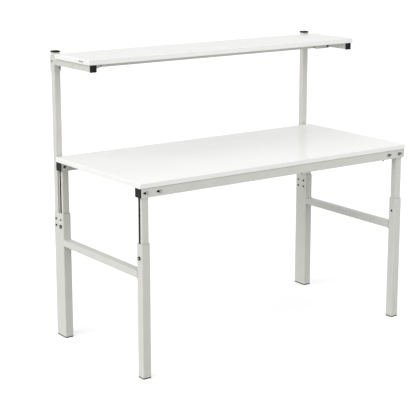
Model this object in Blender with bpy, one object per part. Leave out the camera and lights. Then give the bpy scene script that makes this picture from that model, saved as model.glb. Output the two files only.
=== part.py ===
"""Workbench with a height-adjustable worktop and a shelf that slides on two rear posts.

Metres, +Z up.  X runs along the bench, -Y is the working side, and the origin is on the
floor under the middle of the bench's outer box.
"""
import math

import bmesh
import bpy
from mathutils import Matrix, Vector

# Clearances
FIT_GAP = 0.0003
CUT_OVERRUN = 0.004

# Worktop
TOP_LENGTH = 1.500
TOP_DEPTH = 0.700
TOP_HEIGHT = 0.854
BOARD_THICKNESS = 0.022

# Lower frames: outer tubes, crossbars and foot plugs
TUBE_WIDTH = 0.040
POST_BAY = 0.040
TUBE_WALL = 0.002
TUBE_CORNER = 0.003
TUBE_TOP = 0.594
TUBE_END_INSET = 0.010
CROSSBAR_HEIGHT = 0.030
CROSSBAR_TOP = 0.471
PLUG_FLANGE = 0.005
PLUG_REACH = 0.022
PLUG_WALL = 0.003

# Inner legs: C profiles whose slot faces outward
LEG_PLAY = 0.0015
LEG_WALL = 0.002
LEG_CORNER = 0.0025
LEG_SLOT_PLAY = 0.002
LEG_SLOT_OFFSET = 0.003
LEG_LENGTH = 0.575
FRONT_LEG_SETBACK = 0.0245
REAR_LEG_SETBACK = 0.0165

# Holes near the top of the outer tubes
HOLE_PLAY = 0.0005
LOCK_DROP = 0.063
HOLE_ROW_STEP = 0.031

# Locking screws and their slot nuts
LOCK_HEAD = 0.016
LOCK_HEAD_HEIGHT = 0.0055
LOCK_SHANK = 0.008
LOCK_REACH = 0.012
LOCK_SOCKET = 0.006
LOCK_SOCKET_DEPTH = 0.0035
SLOT_NUT_LAP = 0.005
SLOT_NUT_HEIGHT = 0.006

# Rails under the worktop
RAIL_HEIGHT = 0.040
RAIL_WALL = 0.002
RAIL_CORNER = 0.003
RAIL_END_INSET = 0.008
RAIL_SLOT_TRAVEL = 0.016
RAIL_CAP_FLANGE = 0.003
RAIL_CAP_REACH = 0.003

# Brackets on top of the inner legs
HEAD_PLATE = 0.0025
HEAD_TOP_GAP = 0.002
HEAD_RISE = 0.001
HEAD_BOLT_MARGIN = 0.030
TONGUE_DROP = 0.007
TONGUE_TIP = 0.007
BOLT_PITCH = 0.067
BOLT_SLOT_SHIFT = 0.0055

# Hexagon bolts of the rails
RAIL_BOLT_FLATS = 0.013
RAIL_BOLT_HEAD = 0.0053
RAIL_BOLT_SHANK = 0.008
RAIL_BOLT_REACH = 0.016
RAIL_NUT_HEIGHT = 0.0065

# Posts
POST_PLAY = 0.003
POST_WALL = 0.002
POST_CORNER = 0.002
POST_ABOVE_SLEEVE = 0.0165
POST_SOCKET_DEPTH = 0.250
POST_CAP_WALL = 0.002
POST_CAP_TOP = 0.003
POST_CAP_HEIGHT = 0.012

# Small socket screws of the posts and sleeves
SMALL_HEAD = 0.0105
SMALL_HEAD_HEIGHT = 0.0033
SMALL_SHANK = 0.006
SMALL_SOCKET = 0.004
SMALL_SOCKET_DEPTH = 0.002
POST_SCREW_REACH = 0.006
POST_COLLAR = 0.0015
POST_COLLAR_HEIGHT = 0.004

# Shelf and its carriers
SHELF_DEPTH = 0.300
SHELF_HEIGHT = 1.3228
SHELF_SLEEVE_GAP = 0.0208
SHELF_MARK_LENGTH = 0.040
SHELF_MARK_HEIGHT = 0.005
SHELF_MARK_DEPTH = 0.0015
SHELF_MARK_SETBACK = 0.069
ARM_SIDE = 0.030
ARM_WALL = 0.002
ARM_CORNER = 0.002
ARM_FRONT_SETBACK = 0.004
ARM_CAP_FLANGE = 0.005
ARM_CAP_REACH = 0.015
ARM_CAP_RIM = 0.001
SLEEVE_WALL = 0.003
SLEEVE_PLAY = 0.0004
SLEEVE_HEIGHT = 0.070
SLEEVE_CORNER = 0.003
SLEEVE_SIDE_SCREW_DROP = 0.0265
SLEEVE_FRONT_SCREW_RISE = 0.013
SLEEVE_FRONT_SCREW_SPREAD = 0.016

# Angle rail under the shelf, with a bracket at each end
ANGLE_HEIGHT = 0.030
ANGLE_DEPTH = 0.025
ANGLE_WALL = 0.0025
ANGLE_SETBACK = 0.133
BRACKET_PLATE = 0.003
BRACKET_LENGTH = 0.105
BRACKET_RUN = 0.048
BRACKET_DROP = 0.004
BRACKET_TAPER = 0.020
BRACKET_OUTER_BOLT = 0.012
BRACKET_BOLT_PITCH = 0.085
BRACKET_BOLT_RISE = 0.006
BRACKET_ARM_BOLT_RUN = 0.033

# Roundness
CORNER_SEGMENTS = 2
ROUND_SIDES = 12
HOLE_SIDES = 12
SMOOTH_ANGLE = math.radians(50)

# Sizes and places that follow from the ones above
REAR_TUBE_DEPTH = TUBE_WIDTH + POST_BAY
TUBE_BORE = TUBE_WIDTH - 2 * TUBE_WALL
LEG_SIDE = TUBE_BORE - 2 * LEG_PLAY
LEG_SLOT = LOCK_SHANK + 2 * LEG_SLOT_PLAY
SLOT_NUT_SIDE = LEG_SLOT + 2 * SLOT_NUT_LAP
LOCK_HOLE = LOCK_SHANK + 2 * HOLE_PLAY
LOCK_OFFSET = LEG_SLOT_OFFSET - LEG_SLOT_PLAY + HOLE_PLAY
RAIL_BOLT_HOLE = RAIL_BOLT_SHANK + 2 * HOLE_PLAY
SMALL_HOLE = SMALL_SHANK + 2 * HOLE_PLAY
POST_SIDE = TUBE_BORE - 2 * POST_PLAY
SIDES = {"left": -1.0, "right": 1.0}
FRONT_LEG_Y = FRONT_LEG_SETBACK
REAR_LEG_Y = TOP_DEPTH - REAR_LEG_SETBACK
TUBE_X = TOP_LENGTH / 2 - TUBE_END_INSET - TUBE_WIDTH / 2
TUBE_OUTER_X = TUBE_X + TUBE_WIDTH / 2
REAR_TUBE_FRONT_Y = REAR_LEG_Y - TUBE_WIDTH / 2
REAR_TUBE_REAR_Y = REAR_TUBE_FRONT_Y + REAR_TUBE_DEPTH
LOCK_HEIGHT = TUBE_TOP - LOCK_DROP
NUT_FACE_X = TUBE_X + LEG_SIDE / 2 - LEG_WALL - FIT_GAP
POST_X = TUBE_OUTER_X - TUBE_WALL - FIT_GAP - POST_SIDE / 2
POST_Y = REAR_TUBE_REAR_Y - TUBE_WALL - FIT_GAP - POST_SIDE / 2
POST_BOTTOM = TUBE_TOP - POST_SOCKET_DEPTH
RAIL_DEPTH = LEG_SIDE + 2 * (FIT_GAP + HEAD_PLATE + FIT_GAP + RAIL_WALL)
RAIL_TOP = TOP_HEIGHT - BOARD_THICKNESS - FIT_GAP
RAIL_BOTTOM = RAIL_TOP - RAIL_HEIGHT
RAIL_LENGTH = TOP_LENGTH - 2 * RAIL_END_INSET
RAIL_BOLT_HEIGHT = RAIL_TOP - RAIL_HEIGHT / 2
HEAD_BOTTOM = RAIL_BOTTOM + HEAD_RISE
HEAD_HEIGHT = RAIL_TOP - RAIL_WALL - HEAD_TOP_GAP - HEAD_BOTTOM
HEAD_DEPTH = RAIL_DEPTH - 2 * (RAIL_WALL + FIT_GAP)
HEAD_OUTER_X = RAIL_LENGTH / 2 - RAIL_CAP_REACH - FIT_GAP
HEAD_INNER_X = TUBE_X - BOLT_PITCH - HEAD_BOLT_MARGIN
LEG_TOP = HEAD_BOTTOM - FIT_GAP
SHELF_BOTTOM = SHELF_HEIGHT - BOARD_THICKNESS
ARM_TOP = SHELF_BOTTOM - FIT_GAP
ARM_HEIGHT = ARM_TOP - ARM_SIDE / 2
SLEEVE_SIDE = POST_SIDE + 2 * (SLEEVE_PLAY + SLEEVE_WALL)
SHELF_LENGTH = TOP_LENGTH
SHELF_SETBACK = POST_Y - SLEEVE_SIDE / 2 - SHELF_SLEEVE_GAP - SHELF_DEPTH
SLEEVE_TOP = ARM_HEIGHT + SLEEVE_SIDE_SCREW_DROP
SLEEVE_BOTTOM = SLEEVE_TOP - SLEEVE_HEIGHT
POST_TOP = SLEEVE_TOP + POST_ABOVE_SLEEVE
ARM_X = POST_X + SLEEVE_SIDE / 2 - ARM_SIDE / 2
ARM_INNER_X = ARM_X - ARM_SIDE / 2
ARM_REAR_Y = POST_Y - SLEEVE_SIDE / 2 - FIT_GAP
ARM_FRONT_Y = SHELF_SETBACK + ARM_FRONT_SETBACK + ARM_CAP_FLANGE
ANGLE_FRONT_Y = SHELF_SETBACK + ANGLE_SETBACK
ANGLE_TOP = SHELF_BOTTOM - FIT_GAP
ANGLE_LENGTH = 2 * (ARM_INNER_X - BRACKET_PLATE - 2 * FIT_GAP)
FRONT_REACH_Y = FRONT_LEG_Y - RAIL_DEPTH / 2 - FIT_GAP - RAIL_BOLT_HEAD
REAR_REACH_Y = POST_Y + SLEEVE_SIDE / 2
MIDDLE = Vector((0.0, (FRONT_REACH_Y + REAR_REACH_Y) / 2, 0.0))

# Parent points of the three bodies
WORKTOP_PIVOT = Vector((0.0, (FRONT_LEG_Y + REAR_LEG_Y) / 2, TUBE_TOP))
SHELF_PIVOT = Vector((0.0, POST_Y, ARM_HEIGHT))


def clear_scene():
    """Removes every object of the open scene."""
    for old in list(bpy.data.objects):
        bpy.data.objects.remove(old, do_unlink=True)


def paint(name, color, roughness, metallic=0.0):
    """Returns a Principled material."""
    material = bpy.data.materials.new(name)
    material.use_nodes = True
    shader = material.node_tree.nodes["Principled BSDF"]
    shader.inputs["Base Color"].default_value = (*color, 1.0)
    shader.inputs["Roughness"].default_value = roughness
    shader.inputs["Metallic"].default_value = metallic
    material.diffuse_color = (*color, 1.0)
    return material


def face_outward(mesh_builder):
    """Turns the faces of a closed skin outward."""
    bmesh.ops.recalc_face_normals(mesh_builder, faces=mesh_builder.faces)
    if mesh_builder.calc_volume(signed=True) < 0:
        bmesh.ops.reverse_faces(mesh_builder, faces=mesh_builder.faces)


def add_object(name, mesh_builder, material, place, parent=None):
    """Turns a bmesh into a named object whose origin is at a place in the bench's frame."""
    face_outward(mesh_builder)
    mesh = bpy.data.meshes.new(name)
    mesh_builder.to_mesh(mesh)
    mesh_builder.free()
    mesh.materials.append(material)
    mesh.shade_smooth()
    mesh.set_sharp_from_angle(angle=SMOOTH_ANGLE)
    made = bpy.data.objects.new(name, mesh)
    bpy.context.collection.objects.link(made)
    made.location = Vector(place) - MIDDLE
    if parent is not None:
        made.parent = parent
        made.location -= parent.location
    return made


def add_pivot(name, place):
    """Returns an empty at a place in the bench's frame."""
    pivot = bpy.data.objects.new(name, None)
    bpy.context.collection.objects.link(pivot)
    pivot.location = place - MIDDLE
    return pivot


def rounded_outline(width, depth, radius):
    """Returns the points of a rectangle with round corners, anticlockwise round its centre."""
    points = []
    for turn in range(4):
        start = turn * math.pi / 2
        sign_x = 1 if turn in (0, 3) else -1
        sign_y = 1 if turn in (0, 1) else -1
        for step in range(CORNER_SEGMENTS + 1):
            angle = start + step * math.pi / 2 / CORNER_SEGMENTS
            points.append((sign_x * (width / 2 - radius) + radius * math.cos(angle),
                           sign_y * (depth / 2 - radius) + radius * math.sin(angle)))
    return points


def axes(direction):
    """Returns the matrix that turns local Z onto a named axis, with local X kept level."""
    turns = {
        "Z": Matrix.Identity(4),
        "X": Matrix(((0, 0, 1, 0), (1, 0, 0, 0), (0, 1, 0, 0), (0, 0, 0, 1))),
        "-X": Matrix(((0, 0, -1, 0), (-1, 0, 0, 0), (0, 1, 0, 0), (0, 0, 0, 1))),
        "Y": Matrix(((-1, 0, 0, 0), (0, 0, 1, 0), (0, 1, 0, 0), (0, 0, 0, 1))),
        "-Y": Matrix(((1, 0, 0, 0), (0, 0, -1, 0), (0, 1, 0, 0), (0, 0, 0, 1))),
    }
    return turns[direction]


def closed_loop(mesh_builder, points):
    """Adds a closed loop and returns its corners and its edges."""
    corners = [mesh_builder.verts.new(point) for point in points]
    edges = [mesh_builder.edges.new(pair) for pair in zip(corners, corners[1:] + corners[:1])]
    return corners, edges


def stack_rings(mesh_builder, rings):
    """Joins equal rings of points into one closed skin, with flat ends."""
    loops = [closed_loop(mesh_builder, ring)[0] for ring in rings]
    for lower, upper in zip(loops, loops[1:]):
        for side in zip(lower, lower[1:] + lower[:1], upper[1:] + upper[:1], upper):
            mesh_builder.faces.new(side)
    mesh_builder.faces.new(list(reversed(loops[0])))
    mesh_builder.faces.new(loops[-1])


def raise_faces(mesh_builder, faces, way):
    """Extrudes faces by a vector into a closed body."""
    raised = bmesh.ops.extrude_face_region(mesh_builder, geom=faces, use_keep_orig=True)
    corners = [item for item in raised["geom"] if isinstance(item, bmesh.types.BMVert)]
    bmesh.ops.translate(mesh_builder, verts=corners, vec=way)


def solid_bar(mesh_builder, outline, length, direction="Z", offset=(0.0, 0.0, 0.0)):
    """Extrudes one outline into a bar centred on an offset, with its length along an axis."""
    turn = Matrix.Translation(offset) @ axes(direction)
    corners, _ = closed_loop(mesh_builder, [turn @ Vector((u, v, -length / 2)) for u, v in outline])
    raise_faces(mesh_builder, [mesh_builder.faces.new(corners)],
                axes(direction) @ Vector((0.0, 0.0, length)))


def hollow_bar(mesh_builder, outer, inner, length, direction="Z"):
    """Extrudes the wall between two outlines that have as many points as each other."""
    turn = axes(direction)
    edges = []
    for outline in (outer, inner):
        edges += closed_loop(mesh_builder, [turn @ Vector((u, v, -length / 2)) for u, v in outline])[1]
    wall = bmesh.ops.bridge_loops(mesh_builder, edges=edges)["faces"]
    raise_faces(mesh_builder, wall, turn @ Vector((0.0, 0.0, length)))


def tube(mesh_builder, width, depth, wall, corner, length, direction="Z"):
    """Adds a rectangular tube with round corners."""
    inner_corner = max(corner - wall, wall / 4)
    hollow_bar(mesh_builder, rounded_outline(width, depth, corner),
               rounded_outline(width - 2 * wall, depth - 2 * wall, inner_corner), length, direction)


def round_ring(diameter, height, sides=ROUND_SIDES):
    """Returns the points of a circle at a height."""
    angles = [2 * math.pi * index / sides for index in range(sides)]
    return [(diameter / 2 * math.cos(angle), diameter / 2 * math.sin(angle), height)
            for angle in angles]


def hexagon_ring(flats, height):
    """Returns the corners and side middles of a hexagon at a height."""
    points = []
    for index in range(ROUND_SIDES):
        angle = 2 * math.pi * index / ROUND_SIDES
        reach = flats / 2 if index % 2 else flats / 2 / math.cos(math.pi / 6)
        points.append((reach * math.cos(angle), reach * math.sin(angle), height))
    return points


def place_rings(rings, direction, offset=(0.0, 0.0, 0.0)):
    """Turns rings from local Z onto an axis and moves them to an offset."""
    turn = Matrix.Translation(offset) @ axes(direction)
    return [[turn @ Vector(point) for point in ring] for ring in rings]


def cylinder(mesh_builder, diameter, length, direction, offset, sides=HOLE_SIDES):
    """Adds a cylinder centred on an offset."""
    rings = [round_ring(diameter, -length / 2, sides), round_ring(diameter, length / 2, sides)]
    stack_rings(mesh_builder, place_rings(rings, direction, offset))


def oblong(mesh_builder, travel, height, depth, offset):
    """Adds a cutter with half-round ends a travel apart in X, deep in Y."""
    points = []
    for index in range(HOLE_SIDES + 2):
        side = 1 if index <= HOLE_SIDES / 2 else -1
        step = index if side > 0 else index - 1
        angle = 2 * math.pi * step / HOLE_SIDES - math.pi / 2
        points.append((side * travel / 2 + height / 2 * math.cos(angle),
                       height / 2 * math.sin(angle)))
    solid_bar(mesh_builder, points, depth, "-Y", offset)


def socket_screw(mesh_builder, head, head_height, shank, reach, socket, socket_depth, direction):
    """Adds a round-headed screw that points along an axis, its head seated on the origin."""
    rings = [hexagon_ring(socket, socket_depth - head_height), hexagon_ring(socket, -head_height),
             round_ring(head, -head_height), round_ring(head, 0.0),
             round_ring(shank, 0.0), round_ring(shank, reach)]
    stack_rings(mesh_builder, place_rings(rings, direction))


def hexagon_bolt(mesh_builder, flats, head_height, shank, reach, direction):
    """Adds a hexagon bolt that points along an axis, its head seated on the origin."""
    rings = [hexagon_ring(flats, -head_height), hexagon_ring(flats, 0.0),
             round_ring(shank, 0.0), round_ring(shank, reach)]
    stack_rings(mesh_builder, place_rings(rings, direction))


def nut(mesh_builder, outer_ring, bore, height, direction):
    """Adds a ring-shaped nut whose near face is on the origin."""
    outer = [(x, y) for x, y, _ in outer_ring]
    inner = [(x, y) for x, y, _ in round_ring(bore, 0.0)]
    hollow_bar(mesh_builder, outer, inner, height, direction)
    bmesh.ops.translate(mesh_builder, verts=mesh_builder.verts,
                        vec=axes(direction) @ Vector((0.0, 0.0, height / 2)))


def square_ring(side):
    """Returns twelve points round a square."""
    points = []
    for index in range(ROUND_SIDES):
        angle = 2 * math.pi * index / ROUND_SIDES
        reach = side / 2 / max(abs(math.cos(angle)), abs(math.sin(angle)))
        points.append((reach * math.cos(angle), reach * math.sin(angle), 0.0))
    return points


def cut(target, mesh_builder):
    """Cuts the shapes of a bmesh, placed round the target's own origin, out of a target."""
    face_outward(mesh_builder)
    mesh = bpy.data.meshes.new(target.name + "_cutter")
    mesh_builder.to_mesh(mesh)
    mesh_builder.free()
    cutter = bpy.data.objects.new(target.name + "_cutter", mesh)
    bpy.context.collection.objects.link(cutter)
    cutter.parent = target.parent
    cutter.location = target.location
    cutter.hide_render = True
    cutter.display_type = "WIRE"
    boolean = target.modifiers.new("holes", "BOOLEAN")
    boolean.operation = "DIFFERENCE"
    boolean.solver = "EXACT"
    boolean.object = cutter


def outer_tube(name, material, side, y, depth, hole_places):
    """Builds one upright outer tube with cross holes, given as (y, z) in the bench's frame."""
    length = TUBE_TOP - PLUG_FLANGE - FIT_GAP
    centre = Vector((side * TUBE_X, y, TUBE_TOP - length / 2))
    builder = bmesh.new()
    tube(builder, TUBE_WIDTH, depth, TUBE_WALL, TUBE_CORNER, length)
    made = add_object(name, builder, material, centre)
    holes = bmesh.new()
    for hole_y, hole_z in hole_places:
        cylinder(holes, LOCK_HOLE, TUBE_WIDTH + CUT_OVERRUN, "X",
                 (0.0, hole_y - centre.y, hole_z - centre.z))
    cut(made, holes)


def crossbar(name, material, side):
    """Builds the flat tube between the front and rear outer tubes of one side."""
    front = FRONT_LEG_Y + TUBE_WIDTH / 2 + FIT_GAP
    rear = REAR_TUBE_FRONT_Y - FIT_GAP
    builder = bmesh.new()
    tube(builder, TUBE_WIDTH, CROSSBAR_HEIGHT, TUBE_WALL, TUBE_CORNER, rear - front, "Y")
    add_object(name, builder, material,
               (side * TUBE_X, (front + rear) / 2, CROSSBAR_TOP - CROSSBAR_HEIGHT / 2))


def foot_plug(name, material, side, y, depth):
    """Builds a plug with a flange under the tube and a hollow shank inside it."""
    flange = rounded_outline(TUBE_WIDTH, depth, TUBE_CORNER)
    shank_cut = 2 * (TUBE_WALL + FIT_GAP)
    shank = rounded_outline(TUBE_WIDTH - shank_cut, depth - shank_cut, TUBE_WALL)
    bore_cut = shank_cut + 2 * PLUG_WALL
    bore = rounded_outline(TUBE_WIDTH - bore_cut, depth - bore_cut, TUBE_WALL / 2)
    levels = ((flange, 0.0), (flange, PLUG_FLANGE), (shank, PLUG_FLANGE), (shank, PLUG_REACH),
              (bore, PLUG_REACH), (bore, PLUG_FLANGE))
    builder = bmesh.new()
    stack_rings(builder, [[(u, v, level) for u, v in outline] for outline, level in levels])
    add_object(name, builder, material, (side * TUBE_X, y, 0.0))


def inner_leg(name, material, side, y, parent):
    """Builds a C profile whose slot faces the end of the bench."""
    half = LEG_SIDE / 2
    inside = half - LEG_WALL
    slot_front = LEG_SLOT_OFFSET - LEG_SLOT / 2
    slot_rear = LEG_SLOT_OFFSET + LEG_SLOT / 2
    outline = ([(half, slot_rear)] + rounded_outline(LEG_SIDE, LEG_SIDE, LEG_CORNER)
               + [(half, slot_front), (inside, slot_front), (inside, -inside),
                  (-inside, -inside), (-inside, inside), (inside, inside), (inside, slot_rear)])
    outline = [(side * u, v) for u, v in outline]
    builder = bmesh.new()
    solid_bar(builder, outline, LEG_LENGTH)
    add_object(name, builder, material, (side * TUBE_X, y, LEG_TOP - LEG_LENGTH / 2), parent)


def slot_places(side):
    """Returns the X of the middles of a rail's outer and inner slots on one side."""
    return (side * TUBE_X, side * (TUBE_X - BOLT_PITCH))


def bolt_places(side):
    """Returns the X of the outer and inner rail bolts of one side, which sit inboard in the slots."""
    return [slot_x - side * BOLT_SLOT_SHIFT for slot_x in slot_places(side)]


def leg_head(name, material, side, y, parent):
    """Builds the channel on top of a leg: tongues run down the leg, and weld nuts bridge its slots."""
    centre = Vector((side * (HEAD_OUTER_X + HEAD_INNER_X) / 2, y, HEAD_BOTTOM))
    half = HEAD_DEPTH / 2
    inside = half - HEAD_PLATE
    channel = [(-half, 0.0), (half, 0.0), (half, HEAD_HEIGHT), (inside, HEAD_HEIGHT),
               (inside, HEAD_PLATE), (-inside, HEAD_PLATE), (-inside, HEAD_HEIGHT),
               (-half, HEAD_HEIGHT)]
    builder = bmesh.new()
    solid_bar(builder, channel, HEAD_OUTER_X - HEAD_INNER_X, "X")
    made = add_object(name, builder, material, centre, parent)
    outer = side * TUBE_X - centre.x + side * LEG_SIDE / 2
    low = -HEAD_RISE - TONGUE_DROP
    tongue = [(outer, HEAD_PLATE), (outer, low + TONGUE_TIP / 2),
              (outer - side * TONGUE_TIP / 2, low), (outer - side * TONGUE_TIP, low),
              (outer - side * LEG_SIDE, 0.0), (outer - side * LEG_SIDE, HEAD_PLATE)]
    added = bmesh.new()
    for cheek in (-1.0, 1.0):
        solid_bar(added, tongue, HEAD_PLATE, "-Y", (0.0, cheek * (half - HEAD_PLATE / 2), 0.0))
    bolt_height = RAIL_BOLT_HEIGHT - centre.z
    for bolt_x in bolt_places(side):
        rings = [hexagon_ring(RAIL_BOLT_FLATS, -HEAD_PLATE / 2),
                 hexagon_ring(RAIL_BOLT_FLATS, RAIL_NUT_HEIGHT)]
        stack_rings(added, place_rings(rings, "Y", (bolt_x - centre.x, -inside, bolt_height)))
    join(made, added)
    holes = bmesh.new()
    depth = HEAD_PLATE + RAIL_NUT_HEIGHT + CUT_OVERRUN
    for bolt_x in bolt_places(side):
        cylinder(holes, RAIL_BOLT_HOLE, depth, "Y",
                 (bolt_x - centre.x, (depth - CUT_OVERRUN) / 2 - half, bolt_height))
    cut(made, holes)
    slots = bmesh.new()
    for slot_x in slot_places(side):
        oblong(slots, RAIL_SLOT_TRAVEL, RAIL_BOLT_HOLE, HEAD_PLATE + 2 * FIT_GAP,
               (slot_x - centre.x, -half + HEAD_PLATE / 2, bolt_height))
    cut(made, slots)


def join(target, mesh_builder):
    """Unites the shapes of a bmesh, placed round the target's own origin, with a target."""
    cut(target, mesh_builder)
    target.modifiers[-1].name = "union"
    target.modifiers[-1].operation = "UNION"


def rail(name, material, y, parent):
    """Builds one inverted channel under the worktop, slotted near both ends."""
    half = RAIL_DEPTH / 2
    inside = half - RAIL_WALL
    arc = [(u, v) for u, v in rounded_outline(RAIL_DEPTH, RAIL_HEIGHT, RAIL_CORNER) if v > 0]
    drop = RAIL_HEIGHT / 2
    outline = ([(half, -drop)] + arc + [(-half, -drop), (-inside, -drop),
               (-inside, drop - RAIL_WALL), (inside, drop - RAIL_WALL), (inside, -drop)])
    builder = bmesh.new()
    solid_bar(builder, outline, RAIL_LENGTH, "X")
    made = add_object(name, builder, material, (0.0, y, RAIL_BOLT_HEIGHT), parent)
    holes = bmesh.new()
    for side in SIDES.values():
        for slot_x in slot_places(side):
            for web in (-1.0, 1.0):
                oblong(holes, RAIL_SLOT_TRAVEL, RAIL_BOLT_HOLE, RAIL_WALL + CUT_OVERRUN,
                       (slot_x, web * (half - RAIL_WALL / 2), 0.0))
    cut(made, holes)


def rail_cap(name, material, side, y, parent):
    """Builds the plastic cap that closes one end of a rail."""
    flange = rounded_outline(RAIL_DEPTH, RAIL_HEIGHT, RAIL_CORNER)
    spigot_cut = 2 * (RAIL_WALL + FIT_GAP)
    spigot = rounded_outline(RAIL_DEPTH - spigot_cut, RAIL_HEIGHT - spigot_cut, RAIL_WALL)
    outer = FIT_GAP + RAIL_CAP_FLANGE
    builder = bmesh.new()
    turn = axes("X" if side > 0 else "-X")
    rings = [[turn @ Vector((u, v, level)) for u, v in outline]
             for outline, level in ((spigot, -RAIL_CAP_REACH), (spigot, FIT_GAP),
                                    (flange, FIT_GAP), (flange, outer))]
    stack_rings(builder, rings)
    add_object(name, builder, material, (side * RAIL_LENGTH / 2, y, RAIL_BOLT_HEIGHT), parent)


def board(name, material, length, depth, centre, parent):
    """Builds one flat board."""
    outline = [(length / 2, depth / 2), (-length / 2, depth / 2),
               (-length / 2, -depth / 2), (length / 2, -depth / 2)]
    builder = bmesh.new()
    solid_bar(builder, outline, BOARD_THICKNESS)
    return add_object(name, builder, material, centre, parent)


def lock_screw(name, material, side, leg_y):
    """Builds the screw that runs through a tube and a leg's slot into the slot nut."""
    reach = TUBE_OUTER_X - NUT_FACE_X + LOCK_REACH
    builder = bmesh.new()
    socket_screw(builder, LOCK_HEAD, LOCK_HEAD_HEIGHT, LOCK_SHANK, reach, LOCK_SOCKET,
                 LOCK_SOCKET_DEPTH, inward(side))
    add_object(name, builder, material,
               (side * (TUBE_OUTER_X + FIT_GAP), leg_y + LOCK_OFFSET, LOCK_HEIGHT))


def slot_nut(name, material, side, leg_y):
    """Builds the square nut that bears on the lips of a leg's slot from inside."""
    builder = bmesh.new()
    nut(builder, square_ring(SLOT_NUT_SIDE), LOCK_SHANK + 2 * FIT_GAP, SLOT_NUT_HEIGHT,
        inward(side))
    add_object(name, builder, material, (side * NUT_FACE_X, leg_y + LOCK_OFFSET, LOCK_HEIGHT))


def small_screw(name, material, side, place, reach, parent=None):
    """Builds a small socket screw that points inward from a seat on the outer side."""
    builder = bmesh.new()
    socket_screw(builder, SMALL_HEAD, SMALL_HEAD_HEIGHT, SMALL_SHANK, reach, SMALL_SOCKET,
                 SMALL_SOCKET_DEPTH, inward(side))
    add_object(name, builder, material, place, parent)


def inward(side):
    """Returns the axis that points from one side of the bench to its middle."""
    return "-X" if side > 0 else "X"


def post(name, material, side):
    """Builds one upright post with two threaded collars in its outer wall."""
    length = POST_TOP - POST_BOTTOM
    centre = Vector((side * POST_X, POST_Y, POST_TOP - length / 2))
    builder = bmesh.new()
    tube(builder, POST_SIDE, POST_SIDE, POST_WALL, POST_CORNER, length)
    made = add_object(name, builder, material, centre)
    collars = bmesh.new()
    holes = bmesh.new()
    depth = POST_WALL + POST_COLLAR_HEIGHT + CUT_OVERRUN
    for height in (LOCK_HEIGHT, LOCK_HEIGHT + HOLE_ROW_STEP):
        inner_face = Vector((side * (POST_SIDE / 2 - POST_WALL), 0.0, height - centre.z))
        rings = [round_ring(SMALL_HOLE + 2 * POST_COLLAR, -POST_WALL / 2),
                 round_ring(SMALL_HOLE + 2 * POST_COLLAR, POST_COLLAR_HEIGHT)]
        stack_rings(collars, place_rings(rings, inward(side), inner_face))
        middle = inner_face + Vector((side * (POST_WALL - POST_COLLAR_HEIGHT) / 2, 0.0, 0.0))
        cylinder(holes, SMALL_HOLE, depth, "X", middle)
    join(made, collars)
    cut(made, holes)


def post_cap(name, material, side):
    """Builds the plastic cap that slips over the top of a post."""
    inner_side = POST_SIDE + 2 * FIT_GAP
    outer_side = inner_side + 2 * POST_CAP_WALL
    outer = rounded_outline(outer_side, outer_side, POST_CORNER + POST_CAP_WALL)
    inner = rounded_outline(inner_side, inner_side, POST_CORNER)
    ceiling = POST_TOP + FIT_GAP
    top = ceiling + POST_CAP_TOP
    bottom = top - POST_CAP_HEIGHT
    levels = ((inner, ceiling), (inner, bottom), (outer, bottom), (outer, top))
    builder = bmesh.new()
    stack_rings(builder, [[(u, v, level - ceiling) for u, v in outline]
                          for outline, level in levels])
    add_object(name, builder, material, (side * POST_X, POST_Y, ceiling))


def rail_bolt(name, material, bolt_x, leg_y, parent):
    """Builds the hexagon bolt that runs through a rail's slot into a leg head's weld nut."""
    builder = bmesh.new()
    hexagon_bolt(builder, RAIL_BOLT_FLATS, RAIL_BOLT_HEAD, RAIL_BOLT_SHANK,
                 RAIL_BOLT_REACH, "Y")
    add_object(name, builder, material,
               (bolt_x, leg_y - RAIL_DEPTH / 2 - FIT_GAP, RAIL_BOLT_HEIGHT), parent)


def sleeve(name, material, side, parent):
    """Builds the square sleeve that slides on a post, drilled for its clamping screws."""
    centre = Vector((side * POST_X, POST_Y, SLEEVE_TOP - SLEEVE_HEIGHT / 2))
    builder = bmesh.new()
    tube(builder, SLEEVE_SIDE, SLEEVE_SIDE, SLEEVE_WALL, SLEEVE_CORNER, SLEEVE_HEIGHT)
    made = add_object(name, builder, material, centre, parent)
    holes = bmesh.new()
    wall_middle = (SLEEVE_SIDE - SLEEVE_WALL) / 2
    cylinder(holes, SMALL_HOLE, SLEEVE_WALL + CUT_OVERRUN, "X",
             (side * wall_middle, 0.0, ARM_HEIGHT - centre.z))
    for offset in (-SLEEVE_FRONT_SCREW_SPREAD / 2, SLEEVE_FRONT_SCREW_SPREAD / 2):
        cylinder(holes, SMALL_HOLE, SLEEVE_WALL + CUT_OVERRUN, "Y",
                 (offset, -wall_middle, SLEEVE_BOTTOM + SLEEVE_FRONT_SCREW_RISE - centre.z))
    cut(made, holes)


def bracket_bolt_y():
    """Returns the Y of the bolt that fixes an end bracket to its arm."""
    return ANGLE_FRONT_Y - FIT_GAP - BRACKET_PLATE + BRACKET_ARM_BOLT_RUN


def shelf_arm(name, material, side, parent):
    """Builds one arm tube, drilled for its bracket bolt."""
    length = ARM_REAR_Y - ARM_FRONT_Y
    centre = Vector((side * ARM_X, (ARM_REAR_Y + ARM_FRONT_Y) / 2, ARM_HEIGHT))
    builder = bmesh.new()
    tube(builder, ARM_SIDE, ARM_SIDE, ARM_WALL, ARM_CORNER, length, "Y")
    made = add_object(name, builder, material, centre, parent)
    holes = bmesh.new()
    cylinder(holes, SMALL_HOLE, ARM_SIDE + CUT_OVERRUN, "X",
             (0.0, bracket_bolt_y() - centre.y, 0.0))
    cut(made, holes)


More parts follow.
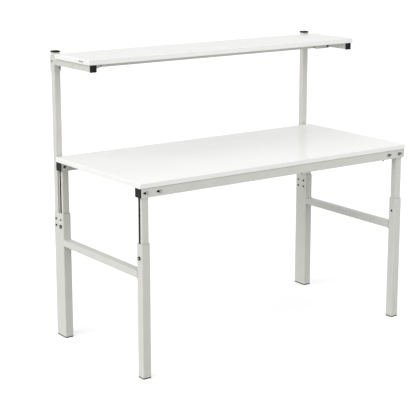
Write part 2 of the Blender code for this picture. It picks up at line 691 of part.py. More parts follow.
def arm_cap(name, material, side, parent):
    """Builds the plastic plug that closes the front end of an arm."""
    rim = ARM_SIDE + 2 * ARM_CAP_RIM
    flange = rounded_outline(rim, rim, ARM_CORNER + ARM_CAP_RIM)
    spigot_side = ARM_SIDE - 2 * (ARM_WALL + FIT_GAP)
    spigot = rounded_outline(spigot_side, spigot_side, ARM_WALL)
    turn = axes("-Y")
    levels = ((spigot, -ARM_CAP_REACH), (spigot, FIT_GAP), (flange, FIT_GAP),
              (flange, ARM_CAP_FLANGE))
    builder = bmesh.new()
    lowered = Vector((0.0, 0.0, -ARM_CAP_RIM))
    rings = []
    for outline, level in levels:
        shift = lowered if outline is flange else Vector((0.0, 0.0, 0.0))
        rings.append([turn @ Vector((u, v, level)) + shift for u, v in outline])
    stack_rings(builder, rings)
    add_object(name, builder, material, (side * ARM_X, ARM_FRONT_Y, ARM_HEIGHT), parent)


def angle_rail(material, parent):
    """Builds the angle under the shelf, with its web to the front and its flange on top."""
    outline = [(0.0, 0.0), (0.0, -ANGLE_HEIGHT), (ANGLE_WALL, -ANGLE_HEIGHT),
               (ANGLE_WALL, -ANGLE_WALL), (ANGLE_DEPTH, -ANGLE_WALL), (ANGLE_DEPTH, 0.0)]
    builder = bmesh.new()
    solid_bar(builder, outline, ANGLE_LENGTH, "X")
    made = add_object("shelf_rail", builder, material, (0.0, ANGLE_FRONT_Y, ANGLE_TOP), parent)
    holes = bmesh.new()
    for side in SIDES.values():
        for bolt_x in bracket_bolt_places(side):
            cylinder(holes, SMALL_HOLE, ANGLE_WALL + CUT_OVERRUN, "Y",
                     (bolt_x, ANGLE_WALL / 2, bracket_bolt_height() - ANGLE_TOP))
    cut(made, holes)


def bracket_bolt_places(side):
    """Returns the X of the outer and inner bolts of one end bracket."""
    outer = ARM_INNER_X - BRACKET_OUTER_BOLT
    return (side * outer, side * (outer - BRACKET_BOLT_PITCH))


def bracket_bolt_height():
    """Returns the height of the end brackets' bolts."""
    return ANGLE_TOP - ANGLE_HEIGHT + BRACKET_BOLT_RISE


def end_bracket(name, material, side, parent):
    """Builds the bracket between an arm and the angle rail, its front leaf tapered at the end."""
    outer = ARM_INNER_X - FIT_GAP
    front = ANGLE_FRONT_Y - FIT_GAP - BRACKET_PLATE
    low = -ANGLE_HEIGHT - BRACKET_DROP
    leaf = [(0.0, 0.0), (0.0, low), (-BRACKET_LENGTH + BRACKET_TAPER, low),
            (-BRACKET_LENGTH, low + BRACKET_TAPER / 2), (-BRACKET_LENGTH, 0.0)]
    leaf = [(side * u, v) for u, v in leaf]
    builder = bmesh.new()
    solid_bar(builder, leaf, BRACKET_PLATE, "-Y", (0.0, BRACKET_PLATE / 2, 0.0))
    made = add_object(name, builder, material, (side * outer, front, ANGLE_TOP), parent)
    run = bmesh.new()
    flange = [(0.0, 0.0), (0.0, -ANGLE_HEIGHT), (BRACKET_RUN, -ANGLE_HEIGHT), (BRACKET_RUN, 0.0)]
    solid_bar(run, flange, BRACKET_PLATE, "X", (-side * BRACKET_PLATE / 2, 0.0, 0.0))
    join(made, run)
    holes = bmesh.new()
    for bolt_x in bracket_bolt_places(side):
        cylinder(holes, SMALL_HOLE, BRACKET_PLATE + CUT_OVERRUN, "Y",
                 (bolt_x - side * outer, BRACKET_PLATE / 2, bracket_bolt_height() - ANGLE_TOP))
    cylinder(holes, SMALL_HOLE, BRACKET_PLATE + CUT_OVERRUN, "X",
             (-side * BRACKET_PLATE / 2, BRACKET_ARM_BOLT_RUN, ARM_HEIGHT - ANGLE_TOP))
    cut(made, holes)


def mark_shelf_end(shelf):
    """Cuts the shallow slot in the left end of the shelf."""
    holes = bmesh.new()
    depth = 2 * SHELF_MARK_DEPTH
    y = SHELF_MARK_SETBACK - SHELF_DEPTH / 2
    outline = [(SHELF_MARK_LENGTH / 2, SHELF_MARK_HEIGHT / 2),
               (-SHELF_MARK_LENGTH / 2, SHELF_MARK_HEIGHT / 2),
               (-SHELF_MARK_LENGTH / 2, -SHELF_MARK_HEIGHT / 2),
               (SHELF_MARK_LENGTH / 2, -SHELF_MARK_HEIGHT / 2)]
    solid_bar(holes, outline, depth, "X", (-SHELF_LENGTH / 2, y, 0.0))
    cut(shelf, holes)


def build_lower_frames(steel, plastic, zinc, black_steel):
    """Builds what stands on the floor: tubes, crossbars, plugs, posts and their fasteners."""
    rows = (LOCK_HEIGHT, LOCK_HEIGHT + HOLE_ROW_STEP)
    rear_holes = [(y, z) for y in (REAR_LEG_Y + LOCK_OFFSET, POST_Y) for z in rows]
    rear_y = (REAR_TUBE_FRONT_Y + REAR_TUBE_REAR_Y) / 2
    legs = {"front": FRONT_LEG_Y, "rear": REAR_LEG_Y}
    for label, side in SIDES.items():
        outer_tube("front_tube_" + label, steel, side, FRONT_LEG_Y, TUBE_WIDTH,
                   [(FRONT_LEG_Y + LOCK_OFFSET, LOCK_HEIGHT)])
        outer_tube("rear_tube_" + label, steel, side, rear_y, REAR_TUBE_DEPTH, rear_holes)
        crossbar("crossbar_" + label, steel, side)
        foot_plug("foot_plug_front_" + label, plastic, side, FRONT_LEG_Y, TUBE_WIDTH)
        foot_plug("foot_plug_rear_" + label, plastic, side, rear_y, REAR_TUBE_DEPTH)
        post("post_" + label, steel, side)
        post_cap("post_cap_" + label, plastic, side)
        small_screw("post_screw_" + label, black_steel, side,
                    (side * (TUBE_OUTER_X + FIT_GAP), POST_Y, LOCK_HEIGHT),
                    TUBE_WALL + POST_WALL + POST_SCREW_REACH)
        for row, leg_y in legs.items():
            place = row + "_" + label
            lock_screw("leg_lock_screw_" + place, zinc, side, leg_y)
            slot_nut("leg_slot_nut_" + place, zinc, side, leg_y)


def build_worktop(steel, plastic, zinc, laminate):
    """Builds what rises with the worktop: board, rails, leg heads and inner legs."""
    pivot = add_pivot("worktop_lift", WORKTOP_PIVOT)
    rows = {"front": FRONT_LEG_Y, "rear": REAR_LEG_Y}
    centre = Vector((0.0, TOP_DEPTH / 2, TOP_HEIGHT - BOARD_THICKNESS / 2))
    board("worktop_board", laminate, TOP_LENGTH, TOP_DEPTH, centre, pivot)
    for row, y in rows.items():
        rail("rail_" + row, steel, y, pivot)
        for label, side in SIDES.items():
            place = row + "_" + label
            rail_cap("rail_cap_" + place, plastic, side, y, pivot)
            leg_head("leg_head_" + place, steel, side, y, pivot)
            inner_leg("inner_leg_" + place, steel, side, y, pivot)
            for end, bolt_x in zip(("outer", "inner"), bolt_places(side)):
                rail_bolt("rail_bolt_" + place + "_" + end, zinc, bolt_x, y, pivot)


def build_shelf(steel, plastic, black_steel, laminate):
    """Builds what slides on the posts: shelf, arms, sleeves, angle rail and their screws."""
    pivot = add_pivot("shelf_slide", SHELF_PIVOT)
    centre = Vector((0.0, SHELF_SETBACK + SHELF_DEPTH / 2, SHELF_HEIGHT - BOARD_THICKNESS / 2))
    shelf = board("shelf_board", laminate, SHELF_LENGTH, SHELF_DEPTH, centre, pivot)
    mark_shelf_end(shelf)
    angle_rail(steel, pivot)
    for label, side in SIDES.items():
        sleeve("sleeve_" + label, steel, side, pivot)
        shelf_arm("shelf_arm_" + label, steel, side, pivot)
        arm_cap("arm_cap_" + label, plastic, side, pivot)
        end_bracket("shelf_bracket_" + label, steel, side, pivot)
        seat = POST_X + SLEEVE_SIDE / 2 + FIT_GAP
        small_screw("sleeve_screw_" + label, black_steel, side,
                    (side * seat, POST_Y, ARM_HEIGHT),
                    seat - POST_X - POST_SIDE / 2 - FIT_GAP, pivot)


def main():
    """Builds the whole bench."""
    clear_scene()
    steel = paint("light_grey_paint", (0.60, 0.60, 0.57), 0.45)
    plastic = paint("black_plastic", (0.02, 0.02, 0.02), 0.55)
    zinc = paint("zinc_plated_steel", (0.62, 0.65, 0.66), 0.35, 1.0)
    black_steel = paint("blackened_steel", (0.03, 0.03, 0.03), 0.40, 1.0)
    laminate = paint("white_laminate", (0.87, 0.87, 0.85), 0.35)
    build_lower_frames(steel, plastic, zinc, black_steel)
    build_worktop(steel, plastic, zinc, laminate)
    build_shelf(steel, plastic, black_steel, laminate)


main()
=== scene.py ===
"""Looks of the height-adjustable workbench: its visible pieces, their finishes, the studio and the camera.

Metres, +Z up. X runs along the bench, -Y is the working side. Every piece fills the box of the
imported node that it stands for, so the dressed bench has the size of its solids.
"""
import logging
import math
from collections.abc import Callable, Iterable, Sequence
from dataclasses import dataclass
from enum import Enum, StrEnum

import bmesh
import bpy
from mathutils import Matrix, Vector, noise


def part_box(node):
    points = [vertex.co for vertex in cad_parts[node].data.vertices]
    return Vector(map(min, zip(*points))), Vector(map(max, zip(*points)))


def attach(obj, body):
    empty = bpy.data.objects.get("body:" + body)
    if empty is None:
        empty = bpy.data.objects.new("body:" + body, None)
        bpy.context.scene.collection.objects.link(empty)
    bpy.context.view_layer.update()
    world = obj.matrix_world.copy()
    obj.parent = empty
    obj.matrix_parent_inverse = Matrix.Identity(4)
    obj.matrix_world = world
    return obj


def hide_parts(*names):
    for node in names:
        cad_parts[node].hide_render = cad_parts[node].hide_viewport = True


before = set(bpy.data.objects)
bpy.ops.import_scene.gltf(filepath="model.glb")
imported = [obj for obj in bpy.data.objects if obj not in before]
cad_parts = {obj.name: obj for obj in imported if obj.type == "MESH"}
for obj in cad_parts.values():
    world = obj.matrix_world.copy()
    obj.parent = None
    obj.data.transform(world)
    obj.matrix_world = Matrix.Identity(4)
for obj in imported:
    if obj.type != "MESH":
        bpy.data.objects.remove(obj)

LOG = logging.getLogger("workbench")
ORIGIN = Vector((0.0, 0.0, 0.0))

# How finely the shapes are modelled
MERGE_DISTANCE = 1e-6
CORNER_STEPS = 6
ROUND_STEPS = 36
RIM_STEPS = 3
NEARLY_HALF = 0.499
SIDE_FACE = 0.5
SQUARE_ON = 0.9
BEAD_CUTS = 4
BEAD_LUMP = 0.003

# Widths of the soft edges
SOFT_EDGE = 0.0004
FOLD_EDGE = 0.0003
SCREW_EDGE = 0.0002
BOARD_EDGE = 0.00015
FINE_EDGE = 0.0001
SOFT_STEPS = 2
SOFT_ANGLE = math.radians(38)

# Play and overlap between shapes
OVERRUN = 0.002
SEAT_GAP = 0.0002
PLUG_SLIM = 1.15

# Sockets of the colour mixing node, and what counts as an edge
MIX_COLOURS = (6, 7)
MIX_RESULT = 2
EDGE_SAMPLES = 4
EDGE_RANGE = (0.80, 0.98)

Box = tuple[Vector, Vector]
Pair = tuple[float, float]
Triple = tuple[float, float, float]
Colour = Triple
Outline = tuple[Pair, ...]
Socket = bpy.types.NodeSocket

ROUND_HEAD: Outline = ((0.0, 1.0), (0.55, 1.0), (0.78, 0.93), (0.93, 0.74), (1.0, 0.48), (1.0, 0.0))
PAN_HEAD: Outline = ((0.0, 1.0), (0.6, 0.96), (0.88, 0.72), (1.0, 0.35), (1.0, 0.0))
HEX_FACE = 0.47


class Body(Enum):
    """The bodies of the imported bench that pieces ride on."""

    FRAMES = "lower_frames"
    WORKTOP = "worktop_assembly"
    SHELF = "shelf_assembly"


class Slot(Enum):
    """The record's material slots."""

    PAINT = "frame_paint"
    PLASTIC = "black_plastic"
    ZINC = "zinc_fastener"
    BLACK = "black_screw"
    LAMINATE = "white_laminate"


class Side(StrEnum):
    """The two ends of the bench."""

    LEFT = "left"
    RIGHT = "right"

    @property
    def sign(self) -> float:
        """Returns -1 on the left and 1 on the right."""
        return -1.0 if self is Side.LEFT else 1.0

    @property
    def inward(self) -> "Way":
        """Returns the way from this end to the middle of the bench."""
        return Way.RIGHT if self is Side.LEFT else Way.LEFT

    def outer(self, box: Box) -> float:
        """Returns the X of a box's face towards this end."""
        return box[0].x if self is Side.LEFT else box[1].x

    def inner(self, box: Box) -> float:
        """Returns the X of a box's face towards the middle of the bench."""
        return box[1].x if self is Side.LEFT else box[0].x


class Row(StrEnum):
    """The front and the rear row of legs."""

    FRONT = "front"
    REAR = "rear"


class Bolt(StrEnum):
    """The two bolts at one end of a rail."""

    OUTER = "outer"
    INNER = "inner"


class Way(Enum):
    """The ways that bars, screws and cutters run, each with the turn that lays local +Z on it."""

    UP = ("X", 0.0)
    RIGHT = ("Y", 90.0)
    LEFT = ("Y", -90.0)
    REAR = ("X", -90.0)

    @property
    def turn(self) -> Matrix:
        """Returns the turn as a matrix."""
        axis, degrees = self.value
        return Matrix.Rotation(math.radians(degrees), 4, axis)


class Join(Enum):
    """How two bodies are combined."""

    CUT = "DIFFERENCE"
    UNITE = "UNION"
    SHARE = "INTERSECT"


class Skin(Enum):
    """The two finishes that one piece may have, as the index of its material."""

    OUTSIDE = 0
    INSIDE = 1


def centre(box: Box) -> Vector:
    """Returns the middle of a box."""
    return (box[0] + box[1]) / 2


def corner_radius(flats: float, sides: int = 6) -> float:
    """Returns how far the corners of a regular prism are from its axis."""
    return flats / 2 / math.cos(math.pi / sides)


def link(name: str, data: bpy.types.ID) -> bpy.types.Object:
    """Adds a mesh, a light or a camera to the scene.

    Args:
        name: the object's name.
        data: its mesh, light or camera.

    Returns:
        The object.
    """
    thing = bpy.data.objects.new(name, data)
    bpy.context.scene.collection.objects.link(thing)
    return thing


class Shape:
    """A closed body being modelled in a bmesh."""

    def __init__(self) -> None:
        """Starts with an empty bmesh."""
        self.mesh = bmesh.new()

    @classmethod
    def sheet(cls, width: float, depth: float, corner: float = 0.0) -> "Shape":
        """Makes one flat face with round corners, the start of a section.

        Args:
            width: its size along local X.
            depth: its size along local Y.
            corner: the radius of its corners.

        Returns:
            The face, centred on the origin.
        """
        shape = cls()
        bmesh.ops.create_grid(shape.mesh, x_segments=1, y_segments=1, size=0.5)
        bmesh.ops.scale(shape.mesh, vec=(width, depth, 1.0), verts=shape.mesh.verts)
        if corner:
            bmesh.ops.bevel(shape.mesh, geom=shape.mesh.verts[:], offset=corner, segments=CORNER_STEPS,
                            profile=0.5, affect="VERTICES", material=-1)
        return shape

    @classmethod
    def fold(cls, width: float, depth: float, bend: float, wall: float, keep: float) -> "Shape":
        """Makes the L section of an angle, its legs' ends on the local axes.

        Args:
            width: its size along local X.
            depth: its size along local Y.
            bend: the outer radius of its bend.
            wall: the thickness of the steel.
            keep: -1 to lie on the side of local -X, 1 on that of +X.

        Returns:
            The section.
        """
        section = cls.sheet(2 * width, 2 * depth, bend).hollow(wall)
        section.split(ORIGIN, Vector((-keep, 0.0, 0.0)), clear=True)
        return section.split(ORIGIN, Vector((0.0, 1.0, 0.0)), clear=True)

    @classmethod
    def bar(cls, box: Box, way: Way, corner: float = 0.0, wall: float = 0.0) -> "Shape":
        """Makes a bar or a tube that fills a box.

        Args:
            box: its lowest and highest corner.
            way: the way it runs.
            corner: the radius of its long corners.
            wall: the thickness of its wall, or zero for a solid bar.

        Returns:
            The bar, in place.
        """
        low, high = box
        size = way.turn.inverted() @ (high - low)
        shape = cls.sheet(abs(size.x), abs(size.y), corner)
        if wall:
            shape.hollow(wall)
        shape.extrude(abs(size.z))
        if wall:
            # The bore's walls take the piece's inside finish, which on the tubes is near-black painted
            # shade.
            shape.mark_lining(abs(size.x) - 2 * wall, abs(size.y) - 2 * wall)
        return shape.shift((0.0, 0.0, -abs(size.z) / 2)).place(way, centre(box))

    @classmethod
    def turned(cls, profile: Sequence[Pair], steps: int = ROUND_STEPS) -> "Shape":
        """Makes the body that a profile sweeps round the local Z axis.

        Args:
            profile: its (radius, height) points, from axis to axis.
            steps: the number of sides.

        Returns:
            The turned body.
        """
        shape = cls()
        corners = [shape.mesh.verts.new((radius, 0.0, height)) for radius, height in profile]
        edges = [shape.mesh.edges.new(pair) for pair in zip(corners, corners[1:])]
        bmesh.ops.spin(shape.mesh, geom=corners + edges, cent=(0.0, 0.0, 0.0), axis=(0.0, 0.0, 1.0),
                       angle=math.tau, steps=steps, use_merge=True)
        return shape.clean()

    @classmethod
    def prism(cls, flats: float, low: float, high: float, sides: int = 6) -> "Shape":
        """Makes a prism round the local Z axis.

        Args:
            flats: its size across flats.
            low: where it starts.
            high: where it ends.
            sides: the number of its sides.

        Returns:
            The prism.
        """
        shape = cls()
        reach = corner_radius(flats, sides)
        bmesh.ops.create_cone(shape.mesh, cap_ends=True, segments=sides, radius1=reach, radius2=reach,
                              depth=high - low, matrix=Matrix.Translation((0.0, 0.0, (low + high) / 2)))
        return shape

    @classmethod
    def oblong(cls, length: float, width: float, depth: float, way: Way, where: Vector) -> "Shape":
        """Makes a cutter for a slot with half-round ends, its length along local X, placed by its middle."""
        shape = cls.sheet(length, width, min(length, width) * NEARLY_HALF).extrude(depth)
        return shape.shift((0.0, 0.0, -depth / 2)).place(way, where)

    @classmethod
    def drill(cls, diameter: float, depth: float, way: Way, where: Vector) -> "Shape":
        """Makes a round cutter, placed by the middle of the hole's mouth, whose bore walls take the inside
        finish: near-black painted shade.
        """
        return cls.prism(diameter, -OVERRUN, depth, ROUND_STEPS).mark_inside().place(way, where)

    def hollow(self, wall: float) -> "Shape":
        """Leaves only a wall along the outline of a flat face.

        Args:
            wall: the thickness of the wall.

        Returns:
            The shape itself.
        """
        rim = bmesh.ops.inset_region(self.mesh, faces=self.mesh.faces[:], thickness=wall,
                                     use_even_offset=True, use_boundary=True)["faces"]
        middle = [face for face in self.mesh.faces if face not in rim]
        bmesh.ops.delete(self.mesh, geom=middle, context="FACES_ONLY")
        return self

    def split(self, where: Vector, normal: Vector, clear: bool = False) -> "Shape":
        """Cuts along a plane.

        Args:
            where: a point of the plane.
            normal: its normal.
            clear: drops what lies on the normal's side.

        Returns:
            The shape itself.
        """
        everything = self.mesh.verts[:] + self.mesh.edges[:] + self.mesh.faces[:]
        bmesh.ops.bisect_plane(self.mesh, geom=everything, plane_co=where, plane_no=normal,
                               clear_outer=clear)
        return self

    def extrude(self, length: float) -> "Shape":
        """Raises flat faces along local Z into a closed body.

        Args:
            length: how far they are raised.

        Returns:
            The shape itself.
        """
        raised = bmesh.ops.extrude_face_region(self.mesh, geom=self.mesh.faces[:], use_keep_orig=True)
        corners = [item for item in raised["geom"] if isinstance(item, bmesh.types.BMVert)]
        bmesh.ops.translate(self.mesh, verts=corners, vec=(0.0, 0.0, length))
        return self.clean()

    def shift(self, way: Sequence[float]) -> "Shape":
        """Moves the shape and returns it."""
        bmesh.ops.translate(self.mesh, verts=self.mesh.verts, vec=way)
        return self

    def place(self, way: Way, where: Vector) -> "Shape":
        """Turns local +Z onto a way, moves the origin to a place and returns the shape."""
        bmesh.ops.transform(self.mesh, matrix=Matrix.Translation(where) @ way.turn, verts=self.mesh.verts)
        return self

    def clean(self) -> "Shape":
        """Merges doubled corners and turns every face outward.

        Returns:
            The shape itself.
        """
        bmesh.ops.remove_doubles(self.mesh, verts=self.mesh.verts, dist=MERGE_DISTANCE)
        bmesh.ops.recalc_face_normals(self.mesh, faces=self.mesh.faces)
        if self.mesh.calc_volume(signed=True) < 0:
            bmesh.ops.reverse_faces(self.mesh, faces=self.mesh.faces)
        return self

    def round_edges(self, radius: float, wanted: Callable[[Vector], bool],
                    steps: int = RIM_STEPS) -> "Shape":
        """Rounds some edges.

        Args:
            radius: the radius of the rounding.
            wanted: tells from an edge's middle whether it is rounded.
            steps: the number of its facets.

        Returns:
            The shape itself.
        """
        edges = [edge for edge in self.mesh.edges if edge.calc_face_angle(0.0) > SOFT_ANGLE
                 and wanted((edge.verts[0].co + edge.verts[1].co) / 2)]
        bmesh.ops.bevel(self.mesh, geom=edges, offset=radius, segments=steps, profile=0.5,
                        affect="EDGES", material=-1, clamp_overlap=True)
        return self.clean()

    def release(self, name: str) -> bpy.types.Mesh:
        """Turns the shape into a mesh, which uses it up.

        Args:
            name: the mesh's name.

        Returns:
            The mesh.
        """
        mesh = bpy.data.meshes.new(name)
        self.mesh.to_mesh(mesh)
        self.mesh.free()
        return mesh

    def combine(self, tool: "Shape", how: Join = Join.CUT) -> "Shape":
        """Cuts, unites or intersects with another body.

        Args:
            tool: the other body, which is used up.
            how: what is done with it.

        Returns:
            The shape itself.
        """
        objects = [link("work", shape.release("work")) for shape in (self, tool)]
        for carrier in objects:
            for _ in Skin:
                carrier.data.materials.append(None)
        modifier = objects[0].modifiers.new("combine", "BOOLEAN")
        modifier.operation = how.value
        modifier.object = objects[1]
        graph = bpy.context.evaluated_depsgraph_get()
        result = bpy.data.meshes.new_from_object(objects[0].evaluated_get(graph))
        self.mesh = bmesh.new()
        self.mesh.from_mesh(result)
        meshes = [result] + [leftover.data for leftover in objects]
        for leftover in objects:
            bpy.data.objects.remove(leftover)
        for mesh in meshes:
            bpy.data.meshes.remove(mesh)
        return self.clean()

    def cut(self, tools: Iterable["Shape"]) -> "Shape":
        """Cuts several bodies that don't touch each other out of the shape.

        Args:
            tools: the bodies, which are used up.

        Returns:
            The shape itself.
        """
        gathered = Shape()
        for tool in tools:
            carrier = tool.release("carrier")
            gathered.mesh.from_mesh(carrier)
            bpy.data.meshes.remove(carrier)
        return self.combine(gathered)

    def mark_inside(self, wanted: Callable[[Vector, Vector], bool] = lambda spot, normal: True) -> "Shape":
        """Gives faces the finish of the inside.

        Args:
            wanted: tells from a face's middle and its normal whether it is marked.

        Returns:
            The shape itself.
        """
        for face in self.mesh.faces:
            if wanted(face.calc_center_median(), face.normal):
                face.material_index = Skin.INSIDE.value
        return self

    def mark_lining(self, width: float, depth: float) -> "Shape":
        """Marks the walls of a bore along local Z.

        Args:
            width: the bore's size along local X.
            depth: its size along local Y.

        Returns:
            The shape itself.
        """
        return self.mark_inside(lambda spot, normal: abs(normal.z) < SIDE_FACE
                                and abs(spot.x) < width / 2 + MERGE_DISTANCE
                                and abs(spot.y) < depth / 2 + MERGE_DISTANCE)

    def roughen(self, size: float, height: float) -> "Shape":
        """Makes a surface lumpy, as a weld bead is.

        Args:
            size: the spacing of the lumps.
            height: how far they stand out.

        Returns:
            The shape itself.
        """
        self.mesh.normal_update()
        for corner in self.mesh.verts:
            corner.co += corner.normal * noise.noise(corner.co / size) * height
        return self


@dataclass(frozen=True)
class Grain:
    """A noise: the size of its spots, its finer layers, and how much finer it is along each axis."""

    size: float
    detail: float = 2.0
    stretch: Triple = (1.0, 1.0, 1.0)


@dataclass(frozen=True)
class Specks:
    """Fine specks of another shade: their grain, shade and share, and the range of the grain they fill."""

    grain: Grain
    shade: float
    share: float
    start: float
    end: float


@dataclass(frozen=True)
class Wear:
    """Edges of another shade, standing for wear and, on the powder coat, a painted edge highlight: how far
    in it reaches, its share and its shade.
    """

    radius: float
    share: float
    shade: float = 1.0


Relief = tuple[tuple[Grain, float], ...]


class Recipe:
    """A material's node tree, written one node at a time round its shader."""

    def __init__(self, name: str) -> None:
        """Starts a material with its shader and Object coordinates.

        Args:
            name: the material's name.
        """
        self.material = bpy.data.materials.new(name)
        self.material.use_nodes = True
        self.tree = self.material.node_tree
        self.shader = self.tree.nodes["Principled BSDF"]
        self.place = self.tree.nodes.new("ShaderNodeTexCoord").outputs["Object"]

    def put(self, node: bpy.types.Node, inputs: dict) -> bpy.types.Node:
        """Sets or links a node's inputs.

        Args:
            node: the node.
            inputs: a value or an output socket for each input's name or number.

        Returns:
            The node.
        """
        for key, value in inputs.items():
            if isinstance(value, Socket):
                self.tree.links.new(value, node.inputs[key])
            else:
                node.inputs[key].default_value = value
        return node

    def add(self, kind: str, inputs: dict, **settings: object) -> bpy.types.Node:
        """Adds a node.

        Args:
            kind: the node's type.
            inputs: its inputs, as for put.
            settings: its own properties.

        Returns:
            The node.
        """
        node = self.tree.nodes.new(kind)
        for key, value in settings.items():
            setattr(node, key, value)
        return self.put(node, inputs)

    def grain(self, grain: Grain) -> Socket:
        """Adds a noise.

        Args:
            grain: its size and layers.

        Returns:
            The noise, from 0 to 1.
        """
        place = self.add("ShaderNodeMapping", {"Vector": self.place, "Scale": grain.stretch})
        inputs = {"Vector": place.outputs["Vector"], "Scale": 1.0 / grain.size, "Detail": grain.detail}
        return self.add("ShaderNodeTexNoise", inputs).outputs["Fac"]

    def span(self, value: Socket, low: float, high: float, start: float = 0.3, end: float = 0.7) -> Socket:
        """Maps a value from the range between start and end onto the one from low to high."""
        inputs = {"Value": value, "From Min": start, "From Max": end, "To Min": low, "To Max": high}
        return self.add("ShaderNodeMapRange", inputs).outputs["Result"]

    def blend(self, share: Socket, first: Colour | Socket, second: Colour | Socket) -> Socket:
        """Mixes two colours.

        Args:
            share: the second colour's share.
            first: a colour or an output socket.
            second: a colour or an output socket.

        Returns:
            The mixed colour.
        """
        inputs = {0: share}
        for key, colour in zip(MIX_COLOURS, (first, second)):
            inputs[key] = colour if isinstance(colour, Socket) else (*colour, 1.0)
        return self.add("ShaderNodeMix", inputs, data_type="RGBA").outputs[MIX_RESULT]

    def mottle(self, grain: Grain, first: Colour, second: Colour) -> Socket:
        """Returns a colour that runs between two others with a grain."""
        return self.blend(self.span(self.grain(grain), 0.0, 1.0), first, second)

    def above(self, edge: float) -> Socket:
        """Tells where a point of the bench is above a height, as 0 or 1."""
        height = self.add("ShaderNodeSeparateXYZ", {"Vector": self.place}).outputs["Z"]
        return self.add("ShaderNodeMath", {0: height, 1: edge}, operation="GREATER_THAN").outputs["Value"]

    def edges(self, wear: Wear) -> Socket:
        """Finds a piece's outer and inner edges.

        Args:
            wear: how far in they reach, and their share.

        Returns:
            A value from 0 on flat faces to the share on sharp edges.
        """
        rounded = self.add("ShaderNodeBevel", {"Radius": wear.radius}, samples=EDGE_SAMPLES)
        plain = self.tree.nodes.new("ShaderNodeNewGeometry")
        normals = {0: rounded.outputs["Normal"], 1: plain.outputs["Normal"]}
        match = self.add("ShaderNodeVectorMath", normals, operation="DOT_PRODUCT").outputs["Value"]
        return self.span(match, wear.share, 0.0, *EDGE_RANGE)

    def raise_relief(self, relief: Relief) -> None:
        """Stacks bumps onto the shader's normal.

        Args:
            relief: each bump's grain and its depth in metres.
        """
        normal = None
        for grain, depth in relief:
            inputs = {"Height": self.grain(grain), "Distance": depth, "Strength": 1.0}
            if normal is not None:
                inputs["Normal"] = normal
            normal = self.add("ShaderNodeBump", inputs).outputs["Normal"]
        self.put(self.shader, {"Normal": normal})


def shade(colour: Colour, factor: float) -> Colour:
    """Returns a colour made lighter or darker by a factor."""
    return tuple(min(1.0, channel * factor) for channel in colour)


@dataclass(frozen=True)
class Finish:
    """A surface finish: a clouded colour, a roughness that varies in patches, and a relief.

    The shades are factors on the colour, and the roughness goes below and above its value by
    what smoother and rougher say.
    """

    name: str
    slot: Slot
    colour: Colour
    roughness: float
    shades: Pair = (1.0, 1.0)
    clouds: Grain = Grain(0.01)
    specks: Specks | None = None
    wear: Wear | None = None
    patches: Grain = Grain(0.01)
    smoother: float = 0.05
    rougher: float = 0.05
    gloss: float = 0.5
    metal: float = 0.0
    relief: Relief = ()

    def material(self) -> bpy.types.Material:
        """Finds the finish's material, or makes it on first use.

        Returns:
            The material.
        """
        made = bpy.data.materials.get(self.name)
        if made is None:
            recipe = Recipe(self.name)
            self.write(recipe)
            made = recipe.material
        return made

    def write(self, recipe: Recipe) -> None:
        """Writes the finish's nodes.

        Args:
            recipe: the material's recipe.
        """
        recipe.put(recipe.shader, {
            "Base Color": self.film(recipe),
            "Roughness": recipe.span(recipe.grain(self.patches), self.roughness - self.smoother,
                                     self.roughness + self.rougher),
            "Metallic": self.metal,
            "Specular IOR Level": self.gloss,
        })
        recipe.raise_relief(self.relief)

    def film(self, recipe: Recipe) -> Socket:
        """Writes the nodes of the colour.

        Args:
            recipe: the material's recipe.

        Returns:
            The colour: clouded, and specked, and with edges of another shade for wear or a painted
                highlight, where the finish is.
        """
        film = recipe.mottle(self.clouds, *(shade(self.colour, factor) for factor in self.shades))
        if self.specks:
            specks = recipe.span(recipe.grain(self.specks.grain), 0.0, self.specks.share,
                                 self.specks.start, self.specks.end)
            film = recipe.blend(specks, film, shade(self.colour, self.specks.shade))
        if self.wear:
            film = recipe.blend(recipe.edges(self.wear), film, shade(self.colour, self.wear.shade))
        return film


@dataclass(frozen=True)
class PowderCoat(Finish):
    """Powder-coated steel: orange peel, a fine grain, and a thinner film along edges, painted lighter, which
    is also a painted edge highlight.
    """

    shades: Pair = (0.975, 1.02)
    clouds: Grain = Grain(0.09, 3.0)
    specks: Specks = Specks(Grain(0.0004, 1.0), 1.08, 0.35, 0.55, 0.75)
    # Wear and painted highlight: edges lighter than the face.
    wear: Wear = Wear(0.0009, 0.35, 1.18)
    patches: Grain = Grain(0.007)
    rougher: float = 0.06
    relief: Relief = ((Grain(0.0019, 1.5), 0.000016), (Grain(0.0004, 1.0), 0.00000192))


@dataclass(frozen=True)
class ShadedCoat(PowderCoat):
    """The same coat on a piece inside a rail, near-black above a height: painted shade for the dim inside of
    the rail.
    """

    # Wear and painted highlight: lighter edges, stronger than the plain coat's.
    wear: Wear = Wear(0.0009, 0.9, 1.18)
    reach: float = 0.0
    # Painted shade: the near-black colour above the reach, mottled by the grain below.
    bare: Colour = (0.004, 0.004, 0.004)
    scale: Grain = Grain(0.006, 4.0)
    scale_shade: float = 2.0

    def film(self, recipe: Recipe) -> Socket:
        """Writes the film's colour, near-black painted shade above its reach, and returns it."""
        steel = recipe.mottle(self.scale, self.bare, shade(self.bare, self.scale_shade))
        return recipe.blend(recipe.above(self.reach), super().film(recipe), steel)


@dataclass(frozen=True)
class MouldedPlastic(Finish):
    """Injection-moulded plastic with a spark-eroded texture, rubbed smooth on its edges."""

    shades: Pair = (0.8, 1.25)
    clouds: Grain = Grain(0.012, 3.0)
    wear: Wear = Wear(0.0008, 0.5, 2.6)
    patches: Grain = Grain(0.004)
    smoother: float = 0.06
    rougher: float = 0.08
    gloss: float = 0.2
    relief: Relief = ((Grain(0.0005), 0.00003),)


